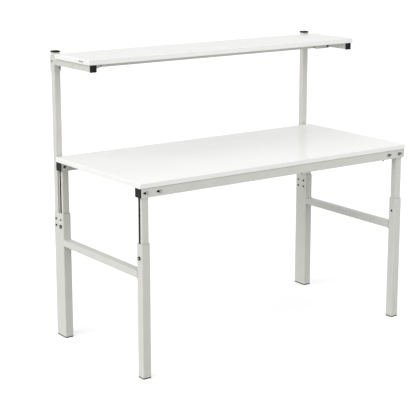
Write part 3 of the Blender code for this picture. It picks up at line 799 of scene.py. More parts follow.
@dataclass(frozen=True)
class PlatedSteel(Finish):
    """Plated or blackened screw steel: a tinted film over fine turning marks, brighter on edges."""

    clouds: Grain = Grain(0.011)
    wear: Wear = Wear(0.0006, 0.6)
    patches: Grain = Grain(0.0012, 3.0)
    smoother: float = 0.06
    rougher: float = 0.12
    metal: float = 1.0
    relief: Relief = ((Grain(0.0009, 2.0, (1.0, 5.0, 5.0)), 0.000012),)
    tints: Grain = Grain(0.0035, 3.0)
    tint_shares: Pair = (0.2, 0.8)
    cool: Colour = (0.5, 0.5, 0.5)
    warm: Colour = (0.5, 0.5, 0.5)
    rubbed: Colour = (0.7, 0.7, 0.7)

    def film(self, recipe: Recipe) -> Socket:
        """Writes the nodes of the colour.

        Args:
            recipe: the material's recipe.

        Returns:
            The colour, tinted in clouds from cool to warm and rubbed bright on edges.
        """
        tint = recipe.mottle(self.tints, self.cool, self.warm)
        film = recipe.blend(recipe.span(recipe.grain(self.clouds), *self.tint_shares), self.colour, tint)
        return recipe.blend(recipe.edges(self.wear), film, self.rubbed)


@dataclass(frozen=True)
class Laminate(Finish):
    """Melamine-faced board: a fine pearl structure over the slight waves of the chips below."""

    shades: Pair = (0.985, 1.0)
    clouds: Grain = Grain(0.22)
    specks: Specks = Specks(Grain(0.0007, 1.0), 0.975, 0.5, 0.60, 0.78)
    patches: Grain = Grain(0.16)
    smoother: float = 0.015
    rougher: float = 0.015
    relief: Relief = ((Grain(0.045), 0.000004), (Grain(0.0011, 1.5), 0.0000018))


@dataclass(frozen=True)
class EdgeBand(Finish):
    """Plastic edge band, milled and scraped along its length."""

    shades: Pair = (0.975, 1.0)
    clouds: Grain = Grain(0.03, 2.0, (1.0, 1.0, 22.0))
    patches: Grain = Grain(0.009)
    relief: Relief = ((Grain(0.004, 2.0, (1.0, 1.0, 5.0)), 0.000012),)


@dataclass(frozen=True)
class MillScale(Finish):
    """Near-black steel that paints the shade inside profiles, bores and gaps, mottled like scale."""

    shades: Pair = (0.6, 1.5)
    clouds: Grain = Grain(0.006, 4.0)
    patches: Grain = Grain(0.003)
    smoother: float = 0.08
    rougher: float = 0.08
    gloss: float = 0.1
    relief: Relief = ((Grain(0.0016, 3.0), 0.00003),)


@dataclass(frozen=True)
class RawCore(Finish):
    """The bare core of a board, pressed from fine wood chips."""

    shades: Pair = (0.7, 1.3)
    clouds: Grain = Grain(0.0018, 3.0, (1.0, 1.0, 4.0))
    patches: Grain = Grain(0.003)
    smoother: float = 0.08
    rougher: float = 0.08
    relief: Relief = ((Grain(0.0018, 3.0, (1.0, 1.0, 4.0)), 0.0002),)


PAINT = PowderCoat("light_grey_powder_coat", Slot.PAINT, (0.609, 0.609, 0.566), 0.42)
PLASTIC = MouldedPlastic("moulded_black_plastic", Slot.PLASTIC, (0.008, 0.008, 0.0075), 0.55)
ZINC = PlatedSteel("bright_zinc_plate", Slot.ZINC, (0.36, 0.385, 0.39), 0.34,
                   cool=(0.27, 0.32, 0.34), warm=(0.43, 0.42, 0.38), rubbed=(0.62, 0.64, 0.64))
BLACK_STEEL = PlatedSteel("blackened_steel", Slot.BLACK, (0.030, 0.030, 0.032), 0.38,
                          cool=(0.022, 0.024, 0.030), warm=(0.045, 0.040, 0.034), rubbed=(0.16, 0.16, 0.16))
# Painted reflection: a darker copy of the zinc, for screw heads that show darker reflections.
ZINC_WITH_DARK_REFLECTION = PlatedSteel("zinc_plate_with_painted_dark_reflection", Slot.ZINC, (0.17, 0.19, 0.22), 0.40,
                        cool=(0.12, 0.15, 0.20), warm=(0.22, 0.21, 0.19), rubbed=(0.42, 0.44, 0.45))
LAMINATE = Laminate("white_melamine", Slot.LAMINATE, (0.852, 0.852, 0.837), 0.17)
EDGE_BAND = EdgeBand("white_edge_band", Slot.LAMINATE, (0.852, 0.852, 0.826), 0.42)
# Painted shade: a near-black colour for the insides of tubes, channels and bores, and for gaps where shade
# falls.
PAINTED_SHADE_STEEL = MillScale("painted_shade_near_black_steel", Slot.PAINT, (0.003, 0.003, 0.0028), 0.70)
BOARD_CORE = RawCore("raw_board_core", Slot.LAMINATE, (0.30, 0.29, 0.26), 0.85)


@dataclass(frozen=True)
class Screw:
    """A screw with a hexagon socket, its head seated on the origin and its shank along +Z.

    The outline gives the head's points as shares of its radius and its height.
    """

    head: float
    height: float
    shank: float
    socket: float = 0.003
    socket_depth: float = 0.0012
    outline: Outline = ROUND_HEAD
    point: float = 0.0
    steps: int = ROUND_STEPS

    def shape(self, reach: float) -> Shape:
        """Makes the screw.

        Args:
            reach: the length of its shank.

        Returns:
            The screw.
        """
        radius = self.shank / 2
        shank = [(radius, 0.0), (radius, reach - self.point), (0.0, reach)]
        return Shape.turned(self.head_line() + shank, self.steps).combine(self.recess())

    def head_line(self) -> list[Pair]:
        """Returns the profile of the head, from its middle to its seat."""
        return [(self.head / 2 * across, -self.height * up) for across, up in self.outline]

    def recess(self) -> Shape:
        """Makes the cutter of the socket."""
        return Shape.prism(self.socket, -self.height - OVERRUN, self.socket_depth - self.height)


@dataclass(frozen=True)
class ClampScrew(Screw):
    """A socket screw in a wide black collar, whose black is painted reflection: the dark rim round the
    bright head.
    """

    head: float = 0.0098
    height: float = 0.0055
    shank: float = 0.008
    socket_depth: float = 0.0018
    collar: float = 0.017
    collar_height: float = 0.0051
    head_chamfer: Pair = (0.92, 0.97)
    collar_chamfer: Pair = (0.94, 0.82)
    clear_of_head: float = 1.02

    def shape(self, reach: float) -> Shape:
        """Makes the screw with a shank of a given length, its collar marked as inside."""
        core = self.head / 2 * self.clear_of_head
        return super().shape(reach).mark_inside(lambda spot, normal: spot.xy.length > core and spot.z < 0.0)

    def head_line(self) -> list[Pair]:
        """Draws the profile of the head and its collar.

        Returns:
            Its points, from the middle to the seat.
        """
        core, rim = self.head / 2, self.collar / 2
        face, shoulder = -self.height, -self.collar_height
        head_in, head_down = self.head_chamfer
        collar_in, collar_down = self.collar_chamfer
        return [(0.0, face), (core * head_in, face), (core, face * head_down), (core, shoulder),
                (rim * collar_in, shoulder), (rim, shoulder * collar_down), (rim, 0.0)]


@dataclass(frozen=True)
class WoodScrew(Screw):
    """A pan-headed wood screw with a cross recess."""

    head: float = 0.009
    height: float = 0.0026
    shank: float = 0.0045
    outline: Outline = PAN_HEAD
    point: float = 0.003
    steps: int = 24
    cross_length: float = 0.27
    cross_width: float = 0.055
    cross_floor: float = 0.35

    def recess(self) -> Shape:
        """Makes the cutter of the cross.

        Returns:
            The cutter.
        """
        length, width = self.head * self.cross_length, self.head * self.cross_width
        top, floor = -self.height - OVERRUN, -self.height * self.cross_floor
        wings = [Shape.bar((Vector((-x, -y, top)), Vector((x, y, floor))), Way.UP)
                 for x, y in ((length, width), (width, length))]
        return wings[0].combine(wings[1], Join.UNITE)


@dataclass(frozen=True)
class HexBolt:
    """A hexagon bolt, its head seated on the origin and its shank along +Z."""

    flats: float
    height: float
    shank: float
    chamfer: float = 0.00209
    washer_face: float = 0.0004
    washer_share: float = 0.46
    end_chamfer: float = 0.001

    def shape(self, reach: float) -> Shape:
        """Makes the bolt.

        Args:
            reach: the length of its shank.

        Returns:
            The bolt.
        """
        corner = corner_radius(self.flats) + OVERRUN
        top, middle = -self.height, -self.height / 2
        lens = Shape.turned([(0.0, top), (self.flats * HEX_FACE, top), (corner, top + self.chamfer),
                             (corner, 0.0), (0.0, 0.0)])
        head = Shape.prism(self.flats, top, -self.washer_face).combine(lens, Join.SHARE)
        face, radius = self.flats * self.washer_share, self.shank / 2
        shank = Shape.turned([(0.0, middle), (face, middle), (face, 0.0), (radius, 0.0),
                              (radius, reach - self.end_chamfer), (radius - self.end_chamfer, reach),
                              (0.0, reach)])
        return head.combine(shank, Join.UNITE)


@dataclass(frozen=True)
class HexNut:
    """A hexagon nut on the end of a screw, its near face on the origin and its far face along +Z."""

    flats: float
    height: float
    thread: float
    stand_out: float = 0.0018
    chamfer: float = 0.0014
    end_chamfer: float = 0.0006

    def shape(self) -> Shape:
        """Makes the nut with the screw's end in it.

        Returns:
            The nut.
        """
        corner = corner_radius(self.flats) + OVERRUN
        lens = Shape.turned([(0.0, 0.0), (corner, 0.0), (corner, self.height - self.chamfer),
                             (self.flats * HEX_FACE, self.height), (0.0, self.height)])
        nut = Shape.prism(self.flats, 0.0, self.height).combine(lens, Join.SHARE)
        start, end, radius = self.height / 2, self.height + self.stand_out, self.thread / 2
        thread = Shape.turned([(0.0, start), (radius, start), (radius, end - self.end_chamfer),
                               (radius - self.end_chamfer, end), (0.0, end)])
        return nut.combine(thread, Join.UNITE)


SMALL_SCREW = Screw(0.0105, 0.0033, 0.006, 0.004, 0.0020)


def side_screw(screw: Screw, box: Box, side: Side) -> Shape:
    """Makes a screw that fills a box and goes into the outer side of a tube.

    Args:
        screw: the kind of screw.
        box: its lowest and highest corner.
        side: the end of the bench.

    Returns:
        The screw, in place.
    """
    where = centre(box)
    where.x = side.outer(box) - side.sign * screw.height
    reach = box[1].x - box[0].x - screw.height
    return screw.shape(reach).place(side.inward, where)


def soften(piece: bpy.types.Object, width: float) -> None:
    """Rounds a piece's sharp edges and evens its shading.

    Args:
        piece: the piece.
        width: the width of the rounding.
    """
    bevel = piece.modifiers.new("soft_edges", "BEVEL")
    bevel.width = width
    bevel.segments = SOFT_STEPS
    bevel.limit_method = "ANGLE"
    bevel.angle_limit = SOFT_ANGLE
    piece.modifiers.new("even_shading", "WEIGHTED_NORMAL").keep_sharp = True


@dataclass
class Assembly:
    """What the bench's three sub-assemblies share: their body, and how a piece joins it."""

    body: Body

    def add(self, name: str, shape: Shape, finish: Finish, *nodes: str, soft: float = SOFT_EDGE,
            inside: Finish | None = None) -> None:
        """Adds a finished shape to the scene as one piece.

        Args:
            name: the piece's name.
            shape: its shape, which is used up.
            finish: its finish.
            nodes: the CAD nodes that it stands for.
            soft: the width of its soft edges.
            inside: the finish of the faces marked as inside.
        """
        mesh = shape.clean().release(name)
        mesh.shade_smooth()
        for used in (finish, inside):
            if used is not None:
                mesh.materials.append(used.material())
        piece = link(name, mesh)
        soften(piece, soft)
        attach(piece, self.body.value)
        if nodes:
            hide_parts(*nodes)
        LOG.info("%s rides on %s", name, self.body.value)

    def fasten(self, name: str, shape: Shape, way: Way, where: Vector, finish: Finish,
               soft: float = SCREW_EDGE) -> None:
        """Adds a small fastener that no CAD node stands for, seated at a place."""
        self.add(name, shape.place(way, where), finish, soft=soft)

    def weld(self, name: str, box: Box, corner: float, rounding: float, end: float, lumps: float) -> None:
        """Adds a weld bead round the end of a tube.

        Args:
            name: the piece's name.
            box: its lowest and highest corner.
            corner: the radius of its long corners.
            rounding: the radius of its free edge.
            end: where along Y its free edge is.
            lumps: how far its lumps stand out.
        """
        bead = Shape.bar(box, Way.REAR, corner)
        bead.round_edges(rounding, lambda spot: abs(spot.y - end) < MERGE_DISTANCE)
        bmesh.ops.subdivide_edges(bead.mesh, edges=bead.mesh.edges[:], cuts=BEAD_CUTS, use_grid_fill=True)
        self.add(name, bead.roughen(BEAD_LUMP, lumps), PAINT, soft=FINE_EDGE)

    def dress(self, node: str, finish: Finish, soft: float = SOFT_EDGE) -> None:
        """Gives a CAD node that stays its finish and soft edges.

        Args:
            node: the node's name.
            finish: its finish.
            soft: the width of its soft edges.
        """
        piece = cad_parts[node]
        for slot in piece.material_slots:
            slot.material = finish.material()
        piece.modifiers.new("whole_skin", "WELD").merge_threshold = MERGE_DISTANCE
        soften(piece, soft)
        LOG.info("%s keeps its solid", node)


@dataclass
class LowerFrames(Assembly):
    """The two welded leg frames that stand on the floor, with their posts, plugs and screws."""

    body: Body = Body.FRAMES
    tube_wall: float = 0.002
    tube_corner: float = 0.003
    hole: float = 0.0112
    hole_floor: float = 0.0002
    hole_step: float = 0.031
    post_wall: float = 0.002
    post_corner: float = 0.0022
    plug_flange: float = 0.005
    plug_rim: float = 0.0013
    plug_reach: float = 0.022
    plug_wall: float = 0.003
    plug_bore_corner: float = 0.001
    bead: float = 0.0022
    bead_side: float = 0.0005
    bead_rounding: float = 0.00176
    bead_lumps: float = 0.0005
    cap_rim: float = 0.0070
    cap_slope: float = 0.0026
    lock: ClampScrew = ClampScrew()
    small: Screw = SMALL_SCREW

    def build(self) -> None:
        """Builds both leg frames."""
        for side in Side:
            self.upright(side, Row.FRONT, self.screw_places(side, Row.FRONT)[:1])
            self.upright(side, Row.REAR, self.screw_places(side, Row.REAR))
            self.cross_tube(side)
            self.post(side)
            self.post_cap(side)
            self.post_screws(side)
            for row in Row:
                self.foot_plug(side, row)
                self.lock_screw(side, row)
                self.dress(f"leg_slot_nut_{row}_{side}", ZINC)

    def screw_places(self, side: Side, row: Row) -> list[Vector]:
        """Finds a tube's cross holes.

        Args:
            side: the end of the bench.
            row: the row of legs.

        Returns:
            The lock screw's place, the one above it, and the two beside them.
        """
        lock = centre(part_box(f"leg_lock_screw_{row}_{side}"))
        up = Vector((0.0, 0.0, self.hole_step))
        beside = Vector((lock.x, centre(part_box(f"post_{side}")).y, lock.z))
        return [lock, lock + up, beside, beside + up]

    def upright(self, side: Side, row: Row, holes: list[Vector]) -> None:
        """Builds one outer tube: its cross holes end just short of the bore, and the top of its front lip is
        near-black, a painted shadow of the gap at its mouth.

        Args:
            side: the end of the bench.
            row: the row of legs.
            holes: the places of its cross holes.
        """
        node = f"{row}_tube_{side}"
        low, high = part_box(node)
        shape = Shape.bar((low, high), Way.UP, self.tube_corner, self.tube_wall)
        depth = self.tube_wall - self.hole_floor
        shape.cut(Shape.drill(self.hole, depth, way, Vector((mouth, hole.y, hole.z)))
                  for way, mouth in ((Way.RIGHT, low.x), (Way.LEFT, high.x)) for hole in holes)
        # Painted shadow: the top face of the front lip is marked near-black for the dark gap between tube
        # and leg.
        lip = low.y + self.tube_wall
        shape.mark_inside(lambda spot, normal: spot.z > high.z - MERGE_DISTANCE and spot.y < lip)
        self.add(f"{row}_upright_{side}", shape, PAINT, node, inside=PAINTED_SHADE_STEEL)

    def cross_tube(self, side: Side) -> None:
        """Builds the tube between the uprights of one side and the weld beads at its ends.

        Args:
            side: the end of the bench.
        """
        node = f"crossbar_{side}"
        low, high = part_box(node)
        tube = Shape.bar((low, high), Way.REAR, self.tube_corner, self.tube_wall)
        self.add(f"cross_tube_{side}", tube, PAINT, node, inside=PAINTED_SHADE_STEEL)
        grown = Vector((self.bead_side, 0.0, self.bead))
        for row, start, end, free_end in (
                (Row.FRONT, low.y, low.y + self.bead, low.y + self.bead),
                (Row.REAR, high.y - self.bead, high.y, high.y - self.bead)):
            box = (Vector((low.x, start, low.z)) - grown, Vector((high.x, end, high.z)) + grown)
            self.weld(f"cross_tube_weld_{row}_{side}", box, self.tube_corner + self.bead_side,
                      self.bead_rounding, free_end, self.bead_lumps)

    def foot_plug(self, side: Side, row: Row) -> None:
        """Builds one foot plug: a flange with a soft rim, and a hollow shank inside the tube.

        Args:
            side: the end of the bench.
            row: the row of legs.
        """
        node = f"foot_plug_{row}_{side}"
        low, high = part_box(node)
        seat = Vector((high.x, high.y, low.z + self.plug_flange))
        flange = Shape.bar((low, seat), Way.UP, self.tube_corner)
        flange.round_edges(self.plug_rim, lambda spot: spot.z < low.z + MERGE_DISTANCE)
        inset = Vector((self.tube_wall * PLUG_SLIM, self.tube_wall * PLUG_SLIM, 0.0))
        shank_low = Vector((low.x, low.y, low.z + self.plug_flange / 2)) + inset
        shank_high = Vector((high.x, high.y, low.z + self.plug_reach)) - inset
        shank = Shape.bar((shank_low, shank_high), Way.UP, self.tube_corner / 2)
        wall = self.plug_wall
        bore = Shape.bar((shank_low + Vector((wall, wall, self.plug_flange / 2)),
                          shank_high + Vector((-wall, -wall, OVERRUN))), Way.UP, self.plug_bore_corner)
        plug = flange.combine(shank, Join.UNITE).combine(bore)
        self.add(f"foot_{row}_{side}", plug, PLASTIC, node)

    def post(self, side: Side) -> None:
        """Builds one post, near-black where it stands in its tube: painted shade seen through the tube's
        mouth and holes.

        Args:
            side: the end of the bench.
        """
        node = f"post_{side}"
        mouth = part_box(f"rear_tube_{side}")[1].z
        shape = Shape.bar(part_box(node), Way.UP, self.post_corner, self.post_wall)
        shape.split(Vector((0.0, 0.0, mouth)), Vector((0.0, 0.0, 1.0)))
        # Painted shade: the part below the tube's mouth is near-black.
        shape.mark_inside(lambda spot, normal: spot.z < mouth)
        self.add(f"post_tube_{side}", shape, PAINT, node, inside=PAINTED_SHADE_STEEL)

    def post_cap(self, side: Side) -> None:
        """Builds the cap on top of one post, its upper edges sloped.

        Args:
            side: the end of the bench.
        """
        node = f"post_cap_{side}"
        low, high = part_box(node)
        low.z = high.z - self.cap_rim
        shape = Shape.bar((low, high), Way.UP, self.tube_corner)
        shape.round_edges(self.cap_slope, lambda spot: spot.z > high.z - MERGE_DISTANCE, 1)
        post_low, post_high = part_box(f"post_{side}")
        play = Vector((SEAT_GAP, SEAT_GAP, 0.0))
        socket = Shape.bar((Vector((post_low.x, post_low.y, low.z - OVERRUN)) - play, post_high + play),
                           Way.UP, self.post_corner)
        self.add(f"post_hat_{side}", shape.combine(socket), PLASTIC, node)

    def lock_screw(self, side: Side, row: Row) -> None:
        """Builds the collared screw that clamps one inner leg.

        Args:
            side: the end of the bench.
            row: the row of legs.
        """
        node = f"leg_lock_screw_{row}_{side}"
        shape = side_screw(self.lock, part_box(node), side)
        # Painted reflection: the collar takes blackened steel for the dark rim round the bright head.
        self.add(f"lock_screw_{row}_{side}", shape, ZINC, node, soft=SCREW_EDGE, inside=BLACK_STEEL)

    def post_screws(self, side: Side) -> None:
        """Builds the two small screws that hold one post in its rear tube.

        Args:
            side: the end of the bench.
        """
        node = f"post_screw_{side}"
        lower = side_screw(self.small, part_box(node), side)
        self.add(f"post_screw_lower_{side}", lower, BLACK_STEEL, node, soft=SCREW_EDGE)
        upper = side_screw(self.small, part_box(node), side).shift((0.0, 0.0, self.hole_step))
        self.add(f"post_screw_upper_{side}", upper, BLACK_STEEL, soft=SCREW_EDGE)


@dataclass
class Board:
    """A melamine-faced board: its panel, and a plastic band glued round its edge."""

    box: Box
    band: float = 0.002
    band_corner: float = 0.0015
    joint: float = 0.00008

    def panel(self) -> Shape:
        """Makes the panel, which ends where the band starts.

        Returns:
            The panel, in place.
        """
        low, high = self.box
        cut = Vector((self.band, self.band, 0.0))
        return Shape.bar((low + cut, high - cut), Way.UP)

    def edging(self) -> Shape:
        """Makes the band: a frame round the panel, with its outer edges scraped round.

        Returns:
            The band, in place.
        """
        low, high = self.box
        size = high - low
        foot = Vector((*centre(self.box).xy, low.z))
        ring = Shape.sheet(size.x, size.y).hollow(self.band - self.joint).extrude(size.z).place(Way.UP, foot)
        outside = (abs(low.x) - MERGE_DISTANCE, size.y / 2 - MERGE_DISTANCE)
        return ring.round_edges(
            self.band_corner, lambda spot: abs(spot.x) > outside[0] or abs(spot.y - foot.y) > outside[1])


@dataclass
class Worktop(Assembly):
    """What rises with the worktop: board, rails and their caps, leg heads, inner legs and bolts."""

    body: Body = Body.WORKTOP
    rail_wall: float = 0.002
    rail_corner: float = 0.004
    rail_spare: float = 0.016
    slot_length: float = 0.025
    slot_width: float = 0.009
    slot_shift: float = 0.0055
    cap_flange: float = 0.003
    cap_edge: float = 0.0011
    cap_spigot: float = 0.0023
    leg_wall: float = 0.002
    leg_corner: float = 0.0025
    leg_slot: float = 0.012
    leg_slot_offset: float = 0.003
    head_floor: float = 0.0025
    bolt: HexBolt = HexBolt(0.013, 0.0053, 0.008)
    screw: WoodScrew = WoodScrew()
    screw_reach: float = 0.030
    screw_inset: float = 0.010
    screw_recess: float = 0.001
    loose: float = 0.0085

    def build(self) -> None:
        """Builds the worktop assembly."""
        rail_low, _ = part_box("rail_front")
        # Painted shade: the leg heads turn near-black just above the rail's lower edge, inside the rail.
        coat = ShadedCoat("powder_coat_with_painted_shade_inside_rail", Slot.PAINT, PAINT.colour, PAINT.roughness,
                          reach=rail_low.z + 2 * self.head_floor)
        board = Board(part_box("worktop_board"))
        self.add("worktop_panel", board.panel(), LAMINATE, "worktop_board", soft=BOARD_EDGE)
        self.add("worktop_edging", board.edging(), EDGE_BAND, soft=BOARD_EDGE)
        for row in Row:
            self.rail(row)
            for side in Side:
                self.rail_cap(row, side)
                self.inner_leg(row, side)
                self.dress(f"leg_head_{row}_{side}", coat, FOLD_EDGE)
                self.head_screw(row, side)
                for bolt in Bolt:
                    self.rail_bolt(row, side, bolt)

    def slot_places(self, row: Row) -> list[Vector]:
        """Returns the middles of one rail's slots, which lie outboard of its bolts."""
        return [centre(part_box(f"rail_bolt_{row}_{side}_{bolt}"))
                + Vector((side.sign * self.slot_shift, 0.0, 0.0)) for side in Side for bolt in Bolt]

    def rail(self, row: Row) -> None:
        """Builds one rail: an inverted channel of folded sheet, slotted near both ends.

        Args:
            row: the row of legs.
        """
        node = f"rail_{row}"
        low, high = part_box(node)
        height, depth = high.z - low.z, high.y - low.y
        shape = Shape.sheet(height + self.rail_spare, depth, self.rail_corner).hollow(self.rail_wall)
        shape.split(Vector(((height - self.rail_spare) / 2, 0.0, 0.0)), Vector((1.0, 0.0, 0.0)), clear=True)
        shape.extrude(high.x - low.x)
        middle_y = (low.y + high.y) / 2
        shape.place(Way.RIGHT, Vector((low.x, middle_y, high.z - (height + self.rail_spare) / 2)))
        cuts = [Shape.oblong(self.slot_length, self.slot_width, depth + 2 * OVERRUN, Way.REAR,
                             Vector((place.x, middle_y, place.z))) for place in self.slot_places(row)]
        self.add(f"{row}_rail", shape.cut(cuts), PAINT, node, soft=FOLD_EDGE)

    def rail_cap(self, row: Row, side: Side) -> None:
        """Builds the moulded cap on one end of a rail, with a soft rim and a spigot inside.

        Args:
            row: the row of legs.
            side: the end of the bench.
        """
        node = f"rail_cap_{row}_{side}"
        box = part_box(node)
        outer = side.outer(box)
        seat = outer - side.sign * self.cap_flange
        cap = self.between(seat, outer, box, 0.0, self.rail_corner)
        cap.round_edges(self.cap_edge, lambda spot: abs(spot.x - outer) < MERGE_DISTANCE)
        root = seat + side.sign * self.cap_flange / 2
        spigot = self.between(side.inner(box), root, box, self.cap_spigot, self.rail_wall)
        self.add(f"rail_end_cap_{row}_{side}", cap.combine(spigot, Join.UNITE), PLASTIC, node)

    @staticmethod
    def between(start: float, end: float, box: Box, slim: float, corner: float) -> Shape:
        """Makes a bar along X from one place to another, as wide and high as a box.

        Args:
            start: one end of the bar.
            end: its other end.
            box: the box.
            slim: how far the bar's long sides lie inside the box's.
            corner: the radius of its long corners.

        Returns:
            The bar, in place.
        """
        low, high = box
        first, last = sorted((start, end))
        return Shape.bar((Vector((first, low.y + slim, low.z + slim)),
                          Vector((last, high.y - slim, high.z - slim))), Way.RIGHT, corner)

    def inner_leg(self, row: Row, side: Side) -> None:
        """Builds one C profile, painted outside, near-black inside and on its slot's cut edges as painted
        shade of the channel, with its slot facing the bench's end.

        Args:
            row: the row of legs.
            side: the end of the bench.
        """
        node = f"inner_leg_{row}_{side}"
        low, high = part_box(node)
        width = high.y - low.y
        inside = width - 2 * self.leg_wall
        shape = Shape.sheet(width, width, self.leg_corner).hollow(self.leg_wall)
        near, far = (self.leg_slot_offset + half * self.leg_slot / 2 for half in (-1.0, 1.0))
        for edge in (near, far):
            shape.split(Vector((0.0, edge, 0.0)), Vector((0.0, 1.0, 0.0)))
        lips = [face for face in shape.mesh.faces
                if near < face.calc_center_median().y < far
                and face.calc_center_median().x * side.sign > 0]
        bmesh.ops.delete(shape.mesh, geom=lips, context="FACES")
        shape.extrude(high.z - low.z).mark_lining(inside, inside)
        # Painted shade: the slot's cut edges are near-black like the inside of the channel.
        shape.mark_inside(lambda spot, normal: abs(normal.y) > SQUARE_ON and spot.x * side.sign > 0
                          and near - OVERRUN < spot.y < far + OVERRUN)
        shape.shift(((low.x + high.x) / 2, (low.y + high.y) / 2, low.z))
        self.add(f"sliding_leg_{row}_{side}", shape, PAINT, node, soft=FOLD_EDGE, inside=PAINTED_SHADE_STEEL)

    def rail_bolt(self, row: Row, side: Side, bolt: Bolt) -> None:
        """Builds one of the bolts in a rail's slots.

        Args:
            row: the row of legs.
            side: the end of the bench.
            bolt: which of the two bolts there.
        """
        node = f"rail_bolt_{row}_{side}_{bolt}"
        low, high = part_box(node)
        where = Vector(((low.x + high.x) / 2, low.y + self.bolt.height, (low.z + high.z) / 2))
        shape = self.bolt.shape(high.y - low.y - self.bolt.height).place(Way.REAR, where)
        # Painted reflection: the right end's bolts take the darker copy of the zinc.
        finish = ZINC if side is Side.LEFT else ZINC_WITH_DARK_REFLECTION
        self.add(f"hex_bolt_{row}_{side}_{bolt}", shape, finish, node, soft=SCREW_EDGE)

    def head_screw(self, row: Row, side: Side) -> None:
        """Builds the wood screw at the inner end of a leg head, which holds the worktop down.

        The one at the front right has worked loose and stands out.

        Args:
            row: the row of legs.
            side: the end of the bench.
        """
        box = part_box(f"leg_head_{row}_{side}")
        rail_low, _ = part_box(f"rail_{row}")
        gap = self.loose if (row, side) == (Row.FRONT, Side.RIGHT) else 0.0
        where = Vector((side.inner(box) + side.sign * self.screw_inset, centre(box).y,
                        rail_low.z + self.screw_recess - gap))
        self.fasten(f"worktop_screw_{row}_{side}", self.screw.shape(self.screw_reach),
                    Way.UP, where, BLACK_STEEL, FINE_EDGE)


